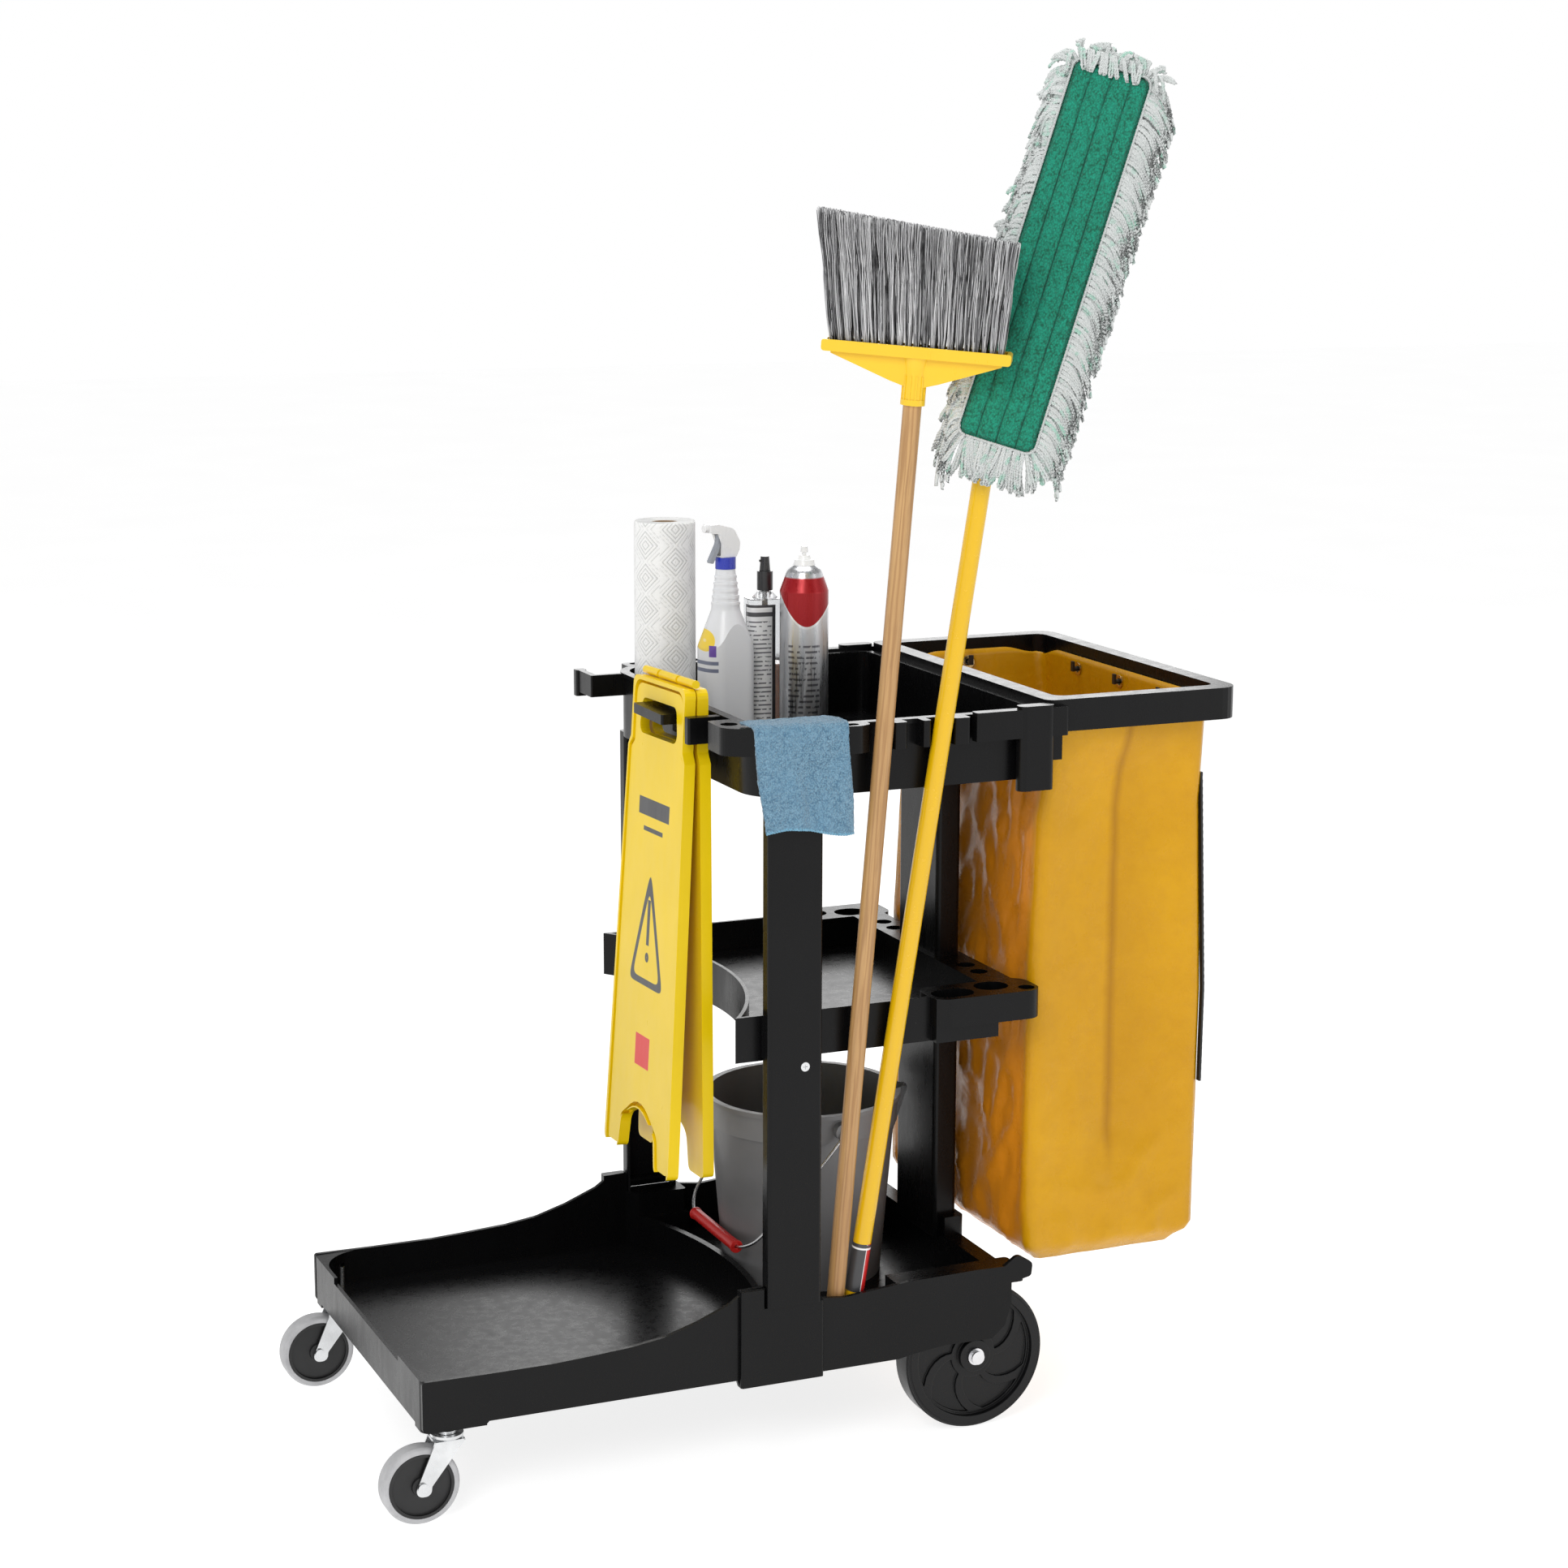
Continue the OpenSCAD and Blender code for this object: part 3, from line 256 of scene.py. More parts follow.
def plastic(name, colour, rough=0.35, coat=0.0, grain=0.25, wear=0.12, mottle=0.06):
    """Moulded plastic: fine grain, faint flow marks and scuffs that dull the gloss."""
    n = Nodes(name)
    cloud = n.noise(9, 4, 0.55)
    n.put("Base Color", n.two_tone(cloud, shaded(colour, 1 - mottle), shaded(colour, 1 + mottle)))
    scuff = n.noise(60, 6, 0.7, n.placed((1, 1, 0.35)))
    n.put("Roughness", n.remap(scuff, 0.3, 0.75, max(0.05, rough - wear / 2), rough + wear))
    fine = n.noise(900, 2, 0.5)
    flow = n.noise(14, 2, 0.5)
    n.bump((fine, 0.0002, grain), (flow, 0.0012, 0.08))
    if coat:
        n.coat(coat, 0.08)
    return n


def metal(name, colour, rough=0.3, brushed=(1, 1, 1), spots=0.15, scale=120):
    """Plated or bare metal with fine streaks and uneven tone."""
    n = Nodes(name)
    streak = n.noise(scale, 5, 0.65, n.placed(brushed))
    tone = n.noise(25, 3, 0.6)
    n.put("Base Color", n.mix(n.remap(tone, 0.35, 0.7, 0, 1), shaded(colour, 1 - spots),
                              colour))
    n.put("Metallic", 1.0)
    n.put("Roughness", n.remap(streak, 0.3, 0.7, rough * 0.7, rough * 1.4))
    n.bump((streak, 0.0002, 0.3))
    return n


# -------------------- mesh helpers

def new_piece(name, verts, faces, body, material, attributes=None):
    mesh = bpy.data.meshes.new(name)
    mesh.from_pydata([tuple(v) for v in verts], [], faces)
    for key, values in (attributes or {}).items():
        layer = mesh.attributes.new(key, "FLOAT", "POINT")
        layer.data.foreach_set("value", values)
    mesh.validate()
    mesh.polygons.foreach_set("use_smooth", [True] * len(mesh.polygons))
    piece = bpy.data.objects.new(name, mesh)
    SCENE.collection.objects.link(piece)
    mesh.materials.append(material.mat)
    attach(piece, body)
    return piece


def modifier(piece, kind, **values):
    m = piece.modifiers.new(kind.title(), kind)
    for key, value in values.items():
        setattr(m, key, value)
    return m


def dressed(node, material, bevel):
    """Gives a CAD node its finish, and rounds its moulded edges."""
    piece = NODES[node]
    piece.data.materials.clear()
    piece.data.materials.append(material.mat)
    if bevel:
        modifier(piece, "WELD", merge_threshold=2e-6)
        modifier(piece, "BEVEL", width=bevel, segments=2, limit_method="ANGLE",
                 angle_limit=math.radians(32), use_clamp_overlap=True,
                 harden_normals=False, miter_outer="MITER_ARC")
        modifier(piece, "WEIGHTED_NORMAL", weight=60, keep_sharp=True)


class Builder:
    """Collects vertices, faces and one number per vertex."""

    def __init__(self):
        self.verts, self.faces, self.tone = [], [], []

    def ring_tube(self, centres, rings, tone):
        """A tube through centres; rings(i) gives the section's offsets there."""
        base, sides = len(self.verts), 0
        for i, c in enumerate(centres):
            section = rings(i)
            sides = len(section)
            self.verts += [c + o for o in section]
            self.tone += [tone] * sides
        for i in range(len(centres) - 1):
            a, b = base + i * sides, base + (i + 1) * sides
            self.faces += [(a + k, a + (k + 1) % sides, b + (k + 1) % sides, b + k)
                           for k in range(sides)]
        self.faces.append(tuple(base + k for k in reversed(range(sides))))
        top = base + (len(centres) - 1) * sides
        self.faces.append(tuple(top + k for k in range(sides)))

    def piece(self, name, body, material, matrix=CART):
        return new_piece(name, [matrix @ v for v in self.verts], self.faces, body, material,
                         attributes={"tone": self.tone})


def frames_along(points):
    """Two side vectors at each point of a path, turned as little as possible."""
    out, side = [], None
    for i, p in enumerate(points):
        ahead = points[min(i + 1, len(points) - 1)] - points[max(i - 1, 0)]
        ahead.normalize()
        if side is None:
            side = ahead.orthogonal().normalized()
        side = (side - ahead * side.dot(ahead)).normalized()
        out.append((side.copy(), ahead.cross(side)))
    return out


def round_rings(points, radius, sides):
    frames = frames_along(points)

    def ring(i):
        u, v = frames[i]
        r = radius(i) if callable(radius) else radius
        return [(u * math.cos(a) + v * math.sin(a)) * r
                for a in (2 * math.pi * k / sides for k in range(sides))]
    return ring


def smooth(t):
    t = max(0.0, min(1.0, t))
    return t * t * (3 - 2 * t)


def grid_faces(nu, nv, base=0, closed=False):
    """Quads of a grid with nu points a row and nv rows."""
    wide = nu if closed else nu - 1
    return [(base + j * nu + i, base + j * nu + (i + 1) % nu,
             base + (j + 1) * nu + (i + 1) % nu, base + (j + 1) * nu + i)
            for j in range(nv - 1) for i in range(wide)]


# -------------------- camera, floor and light

def look(azimuth, elevation, roll):
    a, e = math.radians(azimuth), math.radians(elevation)
    back = Vector((math.sin(a) * math.cos(e), -math.cos(a) * math.cos(e), math.sin(e)))
    right = Vector((math.cos(a), math.sin(a), 0))
    turn = Matrix((right, back.cross(right), back)).transposed().to_4x4()
    return turn @ Matrix.Rotation(math.radians(roll), 4, "Z")


lens = bpy.data.cameras.new("camera")
lens.lens, lens.sensor_width = 72.27, 36
lens.clip_end = 40
camera = bpy.data.objects.new("camera", lens)
SCENE.collection.objects.link(camera)
camera.matrix_world = Matrix.Translation((-1.5784, -3.72087, 1.6686)) @ look(-23.366, 11.334, 0.15)
SCENE.camera = camera
SCENE.view_settings.view_transform = "Standard"

bpy.ops.mesh.primitive_plane_add(size=40, location=(0, 0, 0))
floor = bpy.context.object
floor.name = "floor"
floor_paper = Nodes("floor_paper")
floor_tone = floor_paper.noise(2.0, 3, 0.5)
floor_paper.put("Base Color", floor_paper.two_tone(floor_tone, (0.48,) * 3, (0.52,) * 3))
floor_paper.put("Roughness", 0.95)
floor_paper.put("Specular IOR Level", 0.1)
floor_paper.put("Emission Color", (1, 1, 1))
floor_paper.put("Emission Strength", 0.8)
floor_paper.bump((floor_paper.noise(300, 3, 0.6), 0.0003, 0.2))
floor.data.materials.append(floor_paper.mat)

world = bpy.data.worlds.new("studio")
SCENE.world = world
world.use_nodes = True
sky = world.node_tree.nodes
split = sky.new("ShaderNodeSeparateXYZ")
fade = sky.new("ShaderNodeMapRange")
fade.inputs["From Min"].default_value, fade.inputs["From Max"].default_value = 0.1, 0.45
fade.inputs["To Min"].default_value, fade.inputs["To Max"].default_value = 1.0, 0.3
world.node_tree.links.new(sky.new("ShaderNodeTexCoord").outputs["Generated"], split.inputs[0])
world.node_tree.links.new(split.outputs["Z"], fade.inputs["Value"])
world.node_tree.links.new(fade.outputs["Result"], sky["Background"].inputs["Strength"])
sky["Background"].inputs["Color"].default_value = (1, 1, 1, 1)


def softbox(name, place, target, size, power):
    light = bpy.data.lights.new(name, "AREA")
    light.shape, light.size, light.size_y = "RECTANGLE", *size
    light.energy = power
    lamp = bpy.data.objects.new(name, light)
    SCENE.collection.objects.link(lamp)
    aim = (Vector(place) - Vector(target)).to_track_quat("Z", "Y")
    lamp.matrix_world = Matrix.Translation(place) @ aim.to_matrix().to_4x4()


softbox("key", (-2.6, -3.2, 3.6), (0, 0, 0.7), (1.8, 2.4), 95)
softbox("fill", (2.8, -2.8, 1.8), (0.1, 0, 0.7), (1.4, 2.4), 14)
softbox("top", (0.2, 0.6, 4.2), (0, 0, 0.8), (2.6, 2.0), 60)
softbox("rim", (1.6, 3.4, 2.4), (0, 0, 0.8), (2.0, 2.0), 34)

# -------------------- finishes

black = plastic("black_moulding", (0.003, 0.003, 0.0033), 0.27, 0.0, 0.12, 0.08, 0.15)
black.put("Specular IOR Level", 0.2)
black_matt = plastic("black_bumper", (0.008, 0.008, 0.0085), 0.42, 0.0, 0.3, 0.12, 0.1)
wheel_black = plastic("wheel_plastic", (0.004, 0.004, 0.0045), 0.28, 0.0, 0.15, 0.12, 0.12)
wheel_black.put("Specular IOR Level", 0.3)
sign_yellow = plastic("sign_yellow", (0.86, 0.6, 0.002), 0.32, 0.1, 0.0, 0.1, 0.03)
sign_print = plastic("sign_printed", (0.86, 0.6, 0.002), 0.32, 0.1, 0.0, 0.1, 0.03)
for finish in (sign_yellow, sign_print):
    finish.put("Specular IOR Level", 0.25)
broom_yellow = plastic("broom_yellow", (0.84, 0.54, 0.015), 0.3, 0.1, 0.15, 0.1, 0.03)
bucket_grey = plastic("bucket_grey", (0.2, 0.2, 0.205), 0.38, 0.05, 0.2, 0.15, 0.1)
grip_red = plastic("grip_red", (0.6, 0.012, 0.01), 0.4, 0.1, 0.3, 0.12, 0.06)
soft_black = plastic("grip_black", (0.018, 0.018, 0.019), 0.55, 0.0, 0.8, 0.12, 0.08)
bottle_white = plastic("bottle_white", (0.74, 0.75, 0.77), 0.32, 0.15, 0.15, 0.1, 0.02)
bottle_white.put("Subsurface Weight", 0.15)
bottle_white.put("Subsurface Radius", (0.01, 0.01, 0.01))
head_white = plastic("sprayer_white", (0.76, 0.76, 0.76), 0.25, 0.2, 0.15, 0.1, 0.02)
nozzle_grey = plastic("nozzle_grey", (0.3, 0.32, 0.36), 0.35, 0.1, 0.2, 0.1, 0.04)
collar_blue = plastic("collar_blue", (0.012, 0.03, 0.42), 0.3, 0.2, 0.2, 0.1, 0.06)
pump_black = plastic("pump_black", (0.02, 0.02, 0.021), 0.3, 0.15, 0.2, 0.1, 0.06)
zinc = metal("bright_zinc", (0.78, 0.79, 0.8), 0.24, (1, 1, 0.3), 0.18, 160)
steel = metal("wire_steel", (0.66, 0.66, 0.67), 0.28, (1, 1, 1), 0.2, 200)
brass = metal("eyelet_brass", (0.82, 0.62, 0.3), 0.25, (1, 1, 1), 0.25, 220)
chrome = metal("domed_cap", (0.8, 0.8, 0.82), 0.16, (1, 1, 1), 0.12, 90)

@material("tread_rubber")
def tread(n):
    n.put("Base Color", n.two_tone(n.noise(40, 5, 0.65), (0.4, 0.4, 0.41), (0.52, 0.52, 0.53)))
    n.put("Roughness", n.remap(n.noise(90, 4, 0.6), 0.3, 0.7, 0.42, 0.68))
    n.bump((n.noise(500, 3, 0.6), 0.0003, 0.5), (n.noise(35, 3, 0.5), 0.0008, 0.3))


@material("painted_handle")
def mop_yellow(n):
    tone = n.noise(18, 4, 0.6, n.placed((1, 1, 0.12), MOP))
    n.put("Base Color", n.two_tone(tone, (0.77, 0.46, 0.002), (0.8, 0.48, 0.002)))
    n.put("Roughness", n.remap(n.noise(110, 5, 0.7), 0.3, 0.75, 0.2, 0.3))
    n.coat(0.15, 0.1)
    n.bump((n.noise(70, 3, 0.5, n.placed((1, 1, 0.1))), 0.0004, 0.08))


@material("turned_wood")
def wood(n):
    where = n.placed((1, 1, 0.045), BROOM)
    bend = n.noise(26, 4, 0.6, where)
    grain = n.noise(330, 5, 0.62, where, 0.6)
    lines = n.wave(46, where, "X", 9.0, 3, 2.2)
    tone = n.mix(n.remap(bend, 0.3, 0.7, 0, 1), (0.56, 0.33, 0.13), (0.4, 0.21, 0.075))
    tone = n.mix(n.remap(lines, 0.35, 1.0, 0, 0.55), tone, (0.3, 0.14, 0.045))
    tone = n.mix(n.remap(grain, 0.5, 0.75, 0, 0.5), tone, (0.27, 0.13, 0.05))
    n.put("Base Color", tone)
    n.put("Roughness", n.remap(grain, 0.3, 0.7, 0.32, 0.52))
    n.coat(0.12, 0.2)
    n.bump((grain, 0.0004, 0.5), (lines, 0.0003, 0.3))


@material("bag_vinyl")
def vinyl(n):
    """Coated bag vinyl: glossy, slightly see-through, fine woven backing showing, with painted shade
    at the side walls' fold and painted light on the front wall.
    """
    cloud = n.noise(5, 4, 0.6)
    weave = n.maths("MULTIPLY", n.wave(1500, None, "Z"), n.wave(1500, None, "X"))
    tone = n.two_tone(cloud, (0.6, 0.29, 0.0), (0.68, 0.345, 0.0))
    tone = n.mix(n.remap(n.noise(45, 5, 0.7), 0.45, 0.8, 0, 0.25), tone, (0.46, 0.19, 0.0))
    # painted shade: the crease attribute darkens the fold down the side walls and their right half,
    # where the turned wall falls into shade
    tone = n.mix(n.attribute("crease"), tone, (0.42, 0.185, 0.0))
    # painted light: the tone attribute marks the front wall, which is painted a redder orange for how
    # light falls on that side
    tone = n.mix(n.attribute("tone"), tone, (0.86, 0.3, 0.012))
    n.put("Base Color", tone)
    n.put("Roughness", n.remap(n.noise(30, 4, 0.6), 0.3, 0.7, 0.2, 0.42))
    n.coat(0.15, 0.12)
    n.put("Specular IOR Level", 0.2)
    n.bump((weave, 0.00015, 0.25), (n.noise(16, 5, 0.6, None, 0.8), 0.005, 0.45),
           (n.noise(60, 3, 0.5, None, 0.8), 0.0015, 0.3))


@material("terry_cloth")
def terry(n):
    loops = n.voronoi(520, n.placed((1, 1, 0.8)))
    clump = n.noise(150, 4, 0.7)
    tone = n.mix(n.remap(loops, 0.1, 0.75, 0, 1), (0.19, 0.37, 0.5), (0.045, 0.13, 0.22))
    tone = n.mix(n.remap(clump, 0.42, 0.7, 0, 0.5), tone, (0.27, 0.46, 0.6))
    tone = n.mix(n.remap(n.noise(22, 3, 0.5), 0.35, 0.7, 0, 0.4), tone, (0.13, 0.3, 0.45))
    n.put("Base Color", tone)
    n.put("Roughness", 0.95)
    n.sheen(0.35, 0.6)
    n.bump((loops, 0.0016, 1.0), (clump, 0.002, 0.8))


@material("pad_chenille")
def chenille(n):
    where = n.placed((1, 1, 0.8), PAD)
    tufts = n.voronoi(430, where)
    swirl = n.noise(120, 5, 0.75, where, 1.2)
    tone = n.mix(n.remap(tufts, 0.1, 0.8, 0, 1), (0.004, 0.31, 0.19), (0.001, 0.1, 0.055))
    tone = n.mix(n.remap(swirl, 0.42, 0.75, 0, 0.7), tone, (0.01, 0.42, 0.28))
    # painted shade: the tone attribute darkens the sewn grooves of the pad's face
    tone = n.mix(n.attribute("tone"), tone, (0.001, 0.05, 0.03))
    n.put("Base Color", tone)
    n.put("Roughness", 0.9)
    n.sheen(0.12, 0.5)
    n.bump((tufts, 0.0015, 0.9), (swirl, 0.0022, 0.9))


@material("fringe_yarn")
def yarn(n):
    tone = n.attribute("tone")
    patch = n.noise(95, 3, 0.6)
    fibre = n.noise(1100, 4, 0.7)
    green = n.maths("MULTIPLY", n.remap(tone, 0.5, 0.9, 0, 0.8), n.remap(patch, 0.46, 0.62, 0, 1))
    colour = n.mix(n.remap(fibre, 0.3, 0.7, 0, 1), (0.5, 0.53, 0.52), (0.76, 0.78, 0.77))
    colour = n.mix(green, colour, (0.3, 0.6, 0.47))
    n.put("Base Color", colour)
    n.put("Roughness", 0.9)
    n.sheen(0.25, 0.5)
    n.bump((fibre, 0.0004, 0.7))


@material("broom_bristle")
def bristle(n):
    tone = n.attribute("tone")
    along_strand = n.noise(60, 3, 0.6)
    colour = n.ramp(tone, (0.0, (0.012, 0.012, 0.013)), (0.3, (0.03, 0.03, 0.032)),
                    (0.36, (0.16, 0.16, 0.165)), (0.52, (0.3, 0.3, 0.31)),
                    (0.58, (0.66, 0.66, 0.67)), (1.0, (0.88, 0.88, 0.88)))
    colour = n.mix(n.remap(along_strand, 0.45, 0.7, 0, 0.4), colour, (0.4, 0.4, 0.41))
    n.put("Base Color", colour)
    n.put("Roughness", n.remap(along_strand, 0.3, 0.7, 0.3, 0.55))
    n.bump((n.noise(700, 2, 0.5), 0.0002, 0.4))


@material("quilted_paper")
def tissue(n):
    fibre = n.noise(420, 5, 0.7)
    tone = n.two_tone(fibre, (0.83, 0.83, 0.82), (0.9, 0.9, 0.89))
    # painted shade: tone darkens the embossed lines, the gaps between wraps, the bore and the
    # underside
    n.put("Base Color", n.mix(n.attribute("tone"), tone, (0.36, 0.36, 0.355)))
    n.put("Roughness", 0.92)
    n.put("Subsurface Weight", 0.1)
    n.put("Subsurface Radius", (0.004, 0.004, 0.004))
    n.bump((fibre, 0.0005, 0.5))


@material("card_core")
def card(n):
    fibre = n.noise(260, 5, 0.7, n.placed((1, 1, 3)))
    n.put("Base Color", n.two_tone(fibre, (0.3, 0.2, 0.12), (0.44, 0.32, 0.2)))
    n.put("Roughness", 0.85)
    n.bump((fibre, 0.0003, 0.5))


def make_clear(name, tint, rough=0.08):
    n = Nodes(name)
    haze = n.noise(70, 4, 0.6)
    n.put("Base Color", n.two_tone(haze, shaded(tint, 0.97), tint))
    n.put("Transmission Weight", 0.92)
    n.put("IOR", 1.38)
    n.put("Roughness", n.remap(haze, 0.3, 0.7, rough * 0.6, rough * 1.6))
    n.bump((n.noise(20, 3, 0.5), 0.0006, 0.2))
    return n


clear = make_clear("clear_bottle", (0.95, 0.96, 0.97))
amber = make_clear("amber_liquid", (0.6, 0.2, 0.045), 0.05)
amber.put("Transmission Weight", 0.45)


tin = metal("can_tin", (0.72, 0.73, 0.75), 0.3, (1, 1, 0.05), 0.1, 300)
can_white = plastic("can_cap_white", (0.85, 0.85, 0.84), 0.28, 0.2, 0.15, 0.1, 0.02)

# -------------------- plain printed marks

INK, PAPER = (0.045, 0.045, 0.048), (0.85, 0.85, 0.85)
TOWARDS = Vector((-0.4, -0.917, 0))


def print_sign(n):
    """A rounded triangle with a bar in it, a title bar and a red patch, without letters."""
    x, y, z = n.axes(SIGN_FRONT)
    face = n.remap(x, -12.9, -12.6, 1, 0)
    round_y = n.maths("SQRT", n.sum_of((y, y), 40.0))
    slope = n.sum_of((round_y, 0.936), (z, 0.3517), -269.05)
    edge = n.add("ShaderNodeMath", operation="SMOOTH_MAX")
    n.link(slope, edge.inputs[0])
    n.link(n.sum_of((z, -1.0), 596.0), edge.inputs[1])
    edge.inputs[2].default_value = 22
    ring = n.band(edge.outputs[0], -11, -2)
    stem = n.both(n.band(y, -5, 5), n.band(z, 652, 712))
    dot = n.band(n.sum_of((y, y), n.maths("POWER", n.sum_of(z, -636.0), 2.0)), -1, 42, 3)
    title = n.both(n.band(y, -54, 54), n.band(z, 820, 843))
    rule = n.both(n.band(y, -34, 34), n.band(z, 800, 806))
    patch = n.both(n.band(y, -25, 25), n.band(z, 490, 532))
    for mark in (ring, stem, dot, title, rule):
        n.print_over((n.both(face, mark), INK))
    n.print_over((n.both(face, patch), (0.72, 0.02, 0.015)))


def facing(x, y, n, direction):
    """Coordinates towards and across a direction."""
    return (n.sum_of((x, direction.x), (y, direction.y)),
            n.sum_of((x, -direction.y), (y, direction.x)))


def text_lines(n, across, z, wide, low, high, pitch):
    """Broken thin rules where small print would stand."""
    row = n.maths("FRACT", n.sum_of((z, 1 / pitch)))
    broken = n.remap(n.noise(150, 2, 0.5, n.placed((1, 1, 0.3))), 0.42, 0.46, 0, 1)
    return n.both(n.band(row, 0.35, 0.75, 0.05), n.band(across, -wide, wide),
                  n.band(z, low, high), broken)


def print_can(n):
    x, y, z = n.axes(on_tray(660, 83))
    ahead, across = facing(x, y, n, TOWARDS)
    tip = n.sum_of((n.maths("MULTIPLY", across, across), 0.033), (across, -0.25), 159.0)
    above = n.sum_of(z, (tip, -1.0))
    red = n.both(n.band(above, 0, 100), n.remap(z, 222, 224, 1, 0))
    front = n.remap(ahead, 0, 2, 0, 1)
    small = n.both(front, text_lines(n, across, z, 21, 28, 136, 7.5))
    n.print_over((small, (0.2, 0.2, 0.22)), (n.both(front, n.band(above, -3.5, 0)), PAPER),
                 (red, (0.36, 0.004, 0.008)))
    n.put("Metallic", n.remap(red, 0, 1, 1.0, 0.35))


def print_bottle(n):
    x, y, z = n.axes(on_tray(554, 104, 14))
    ahead, across = facing(x, y, n, Vector((-0.6, -0.8, 0)))
    front = n.remap(ahead, 0, 2, 0, 1)
    shifted = n.sum_of(across, 28.0)
    disc = n.sum_of((shifted, shifted), n.maths("POWER", n.sum_of(z, -142.0), 2.0))
    disc = n.band(disc, -1, 200, 8)
    square = n.both(n.band(shifted, 6, 16), n.band(z, 121, 136))
    bars = n.both(n.band(across, -40, -9), n.maths("ADD", n.band(z, 110, 115), n.band(z, 100, 105)))
    for mark, colour in ((disc, (0.86, 0.62, 0.06)), (square, (0.13, 0.06, 0.35)),
                         (bars, (0.16, 0.18, 0.26))):
        n.print_over((n.both(front, mark), colour))


def print_sleeve(n):
    x, y, z = n.axes(MOP)
    right = n.sum_of((x, 0.96), (y, 0.28))
    n.print_over((n.remap(right, -1.4, -1.0, 1, 0), INK),
                 (n.band(right, -1.8, -0.9), PAPER),
                 (n.band(z, 123.5, 127), INK), (n.band(z, 120.5, 123), PAPER))


def print_label(n):
    """Broken rules inside a dark border, by the distance round the label."""
    run, z = n.attribute("tone"), n.axes(on_tray(624, 134, -6))[2]
    row = n.maths("FRACT", n.sum_of((z, 1 / 6.0)))
    broken = n.remap(n.noise(160, 2, 0.5), 0.42, 0.46, 0, 1)
    small = n.both(n.band(run, 4, 31), n.band(z, 24, 160), n.band(row, 0.3, 0.62, 0.05), broken)
    n.print_over((small, (0.12, 0.12, 0.13)), (n.band(z, 166, 172), (0.08, 0.08, 0.085)),
                 (n.remap(run, 1.6, 2.0, 1, 0), INK), (n.remap(run, 31.6, 32, 0, 1), INK),
                 (n.remap(z, 178, 178.5, 0, 1), INK))


print_sign(sign_print)
print_can(tin)
print_bottle(bottle_white)
sleeve_film = plastic("sleeve_film", (0.55, 0.01, 0.01), 0.3, 0.1, 0.2, 0.12, 0.06)
print_sleeve(sleeve_film)

label_paper = plastic("label_paper", (0.8, 0.8, 0.8), 0.45, 0.0, 0.2, 0.1, 0.02)
print_label(label_paper)

# -------------------- CAD nodes and their finish

# Finish, width of the rounded edges in metres, and the nodes that have them
FINISHES = (
    (black, 0.0016, "base_platform front_post_near front_post_far rear_column middle_shelf top_tray"),
    (black, 0.0018, "bag_frame"),
    (black, 0.001, "sign_hook"),
    (black_matt, 0.0005, "bag_hooks caster_hub_near caster_hub_far"),
    (black_matt, 0.0003, "bag_zipper"),
    (wheel_black, 0.0012, "rear_wheel_near rear_wheel_far"),
    (zinc, 0.0006, "caster_fork_near caster_fork_far"),
    (zinc, 0.0003, "caster_mounts caster_bolt_near caster_bolt_far post_screws"),
    (steel, 0.0005, "rear_axle mop_frame"),
    (chrome, 0.0006, "axle_caps"),
    (brass, 0.00025, "bag_eyelets"),
    (tread, 0.0008, "caster_tread_near caster_tread_far"),
    (wood, 0.0, "broom_handle"),
    (broom_yellow, 0.0009, "broom_cap"),
    (mop_yellow, 0.0, "mop_handle"),
    (soft_black, 0.0006, "mop_grip"),
    (soft_black, 0.0008, "mop_connector"),
    (sleeve_film, 0.0002, "mop_sleeve"),
    (sign_print, 0.0016, "sign_front_panel"),
    (sign_yellow, 0.0016, "sign_rear_panel"),
    (sign_yellow, 0.0012, "sign_hinge"),
    (bucket_grey, 0.0008, "bucket"),
    (grip_red, 0.0008, "bucket_grip"),
    (card, 0.0002, "towel_core"),
    (bottle_white, 0.001, "spray_bottle"),
    (collar_blue, 0.0006, "spray_collar"),
    (head_white, 0.0018, "spray_head"),
    (nozzle_grey, 0.0008, "spray_trigger"),
    (clear, 0.0, "mist_bottle"),
    (amber, 0.0, "mist_liquid"),
    (pump_black, 0.0005, "mist_collar mist_pump"),
    (tin, 0.0004, "can_body"),
    (can_white, 0.0006, "can_dome"),
    (can_white, 0.0005, "can_nozzle"),
)
for finish, edge, names in FINISHES:
    for name in names.split():
        dressed(name, finish, edge)

# -------------------- bag

BAG_LOW, BAG_HIGH, EYELET_Z = 201.0, 968.0, 950
# Each wall of the bag: outward direction, start, width, spacing of its lines, eyelets
BAG_WALLS = {"near": ((0, -1), 876, 228, 8.2, (985,)),
             "rear": ((1, 0), -238, 476, 9.6, (-120, 0, 120)),
             "far": ((0, 1), 876, 228, 8.2, (985,)),
             "front": ((-1, 0), -238, 476, 9.6, (-120, 120))}


def bag_limits(z):
    """The bag's left and right walls and half depth at a height, in cart millimetres."""
    def between(z, points):
        for (za, a), (zb, b) in zip(points, points[1:]):
            if z <= zb:
                return a + (b - a) * max(0.0, (z - za) / (zb - za))
        return points[-1][1]
    low = smooth((z - BAG_LOW) / 34)
    left = between(z, ((200, 859.5), (600, 858), (968, 876.8)))
    right = between(z, ((200, 1117), (560, 1119.5), (968, 1103.4)))
    deep = between(z, ((200, 213.2), (820, 215.2), (968, 237.4)))
    tuck = 26 * (1 - low) ** 2
    return left + tuck, right - tuck, deep - tuck * 0.8


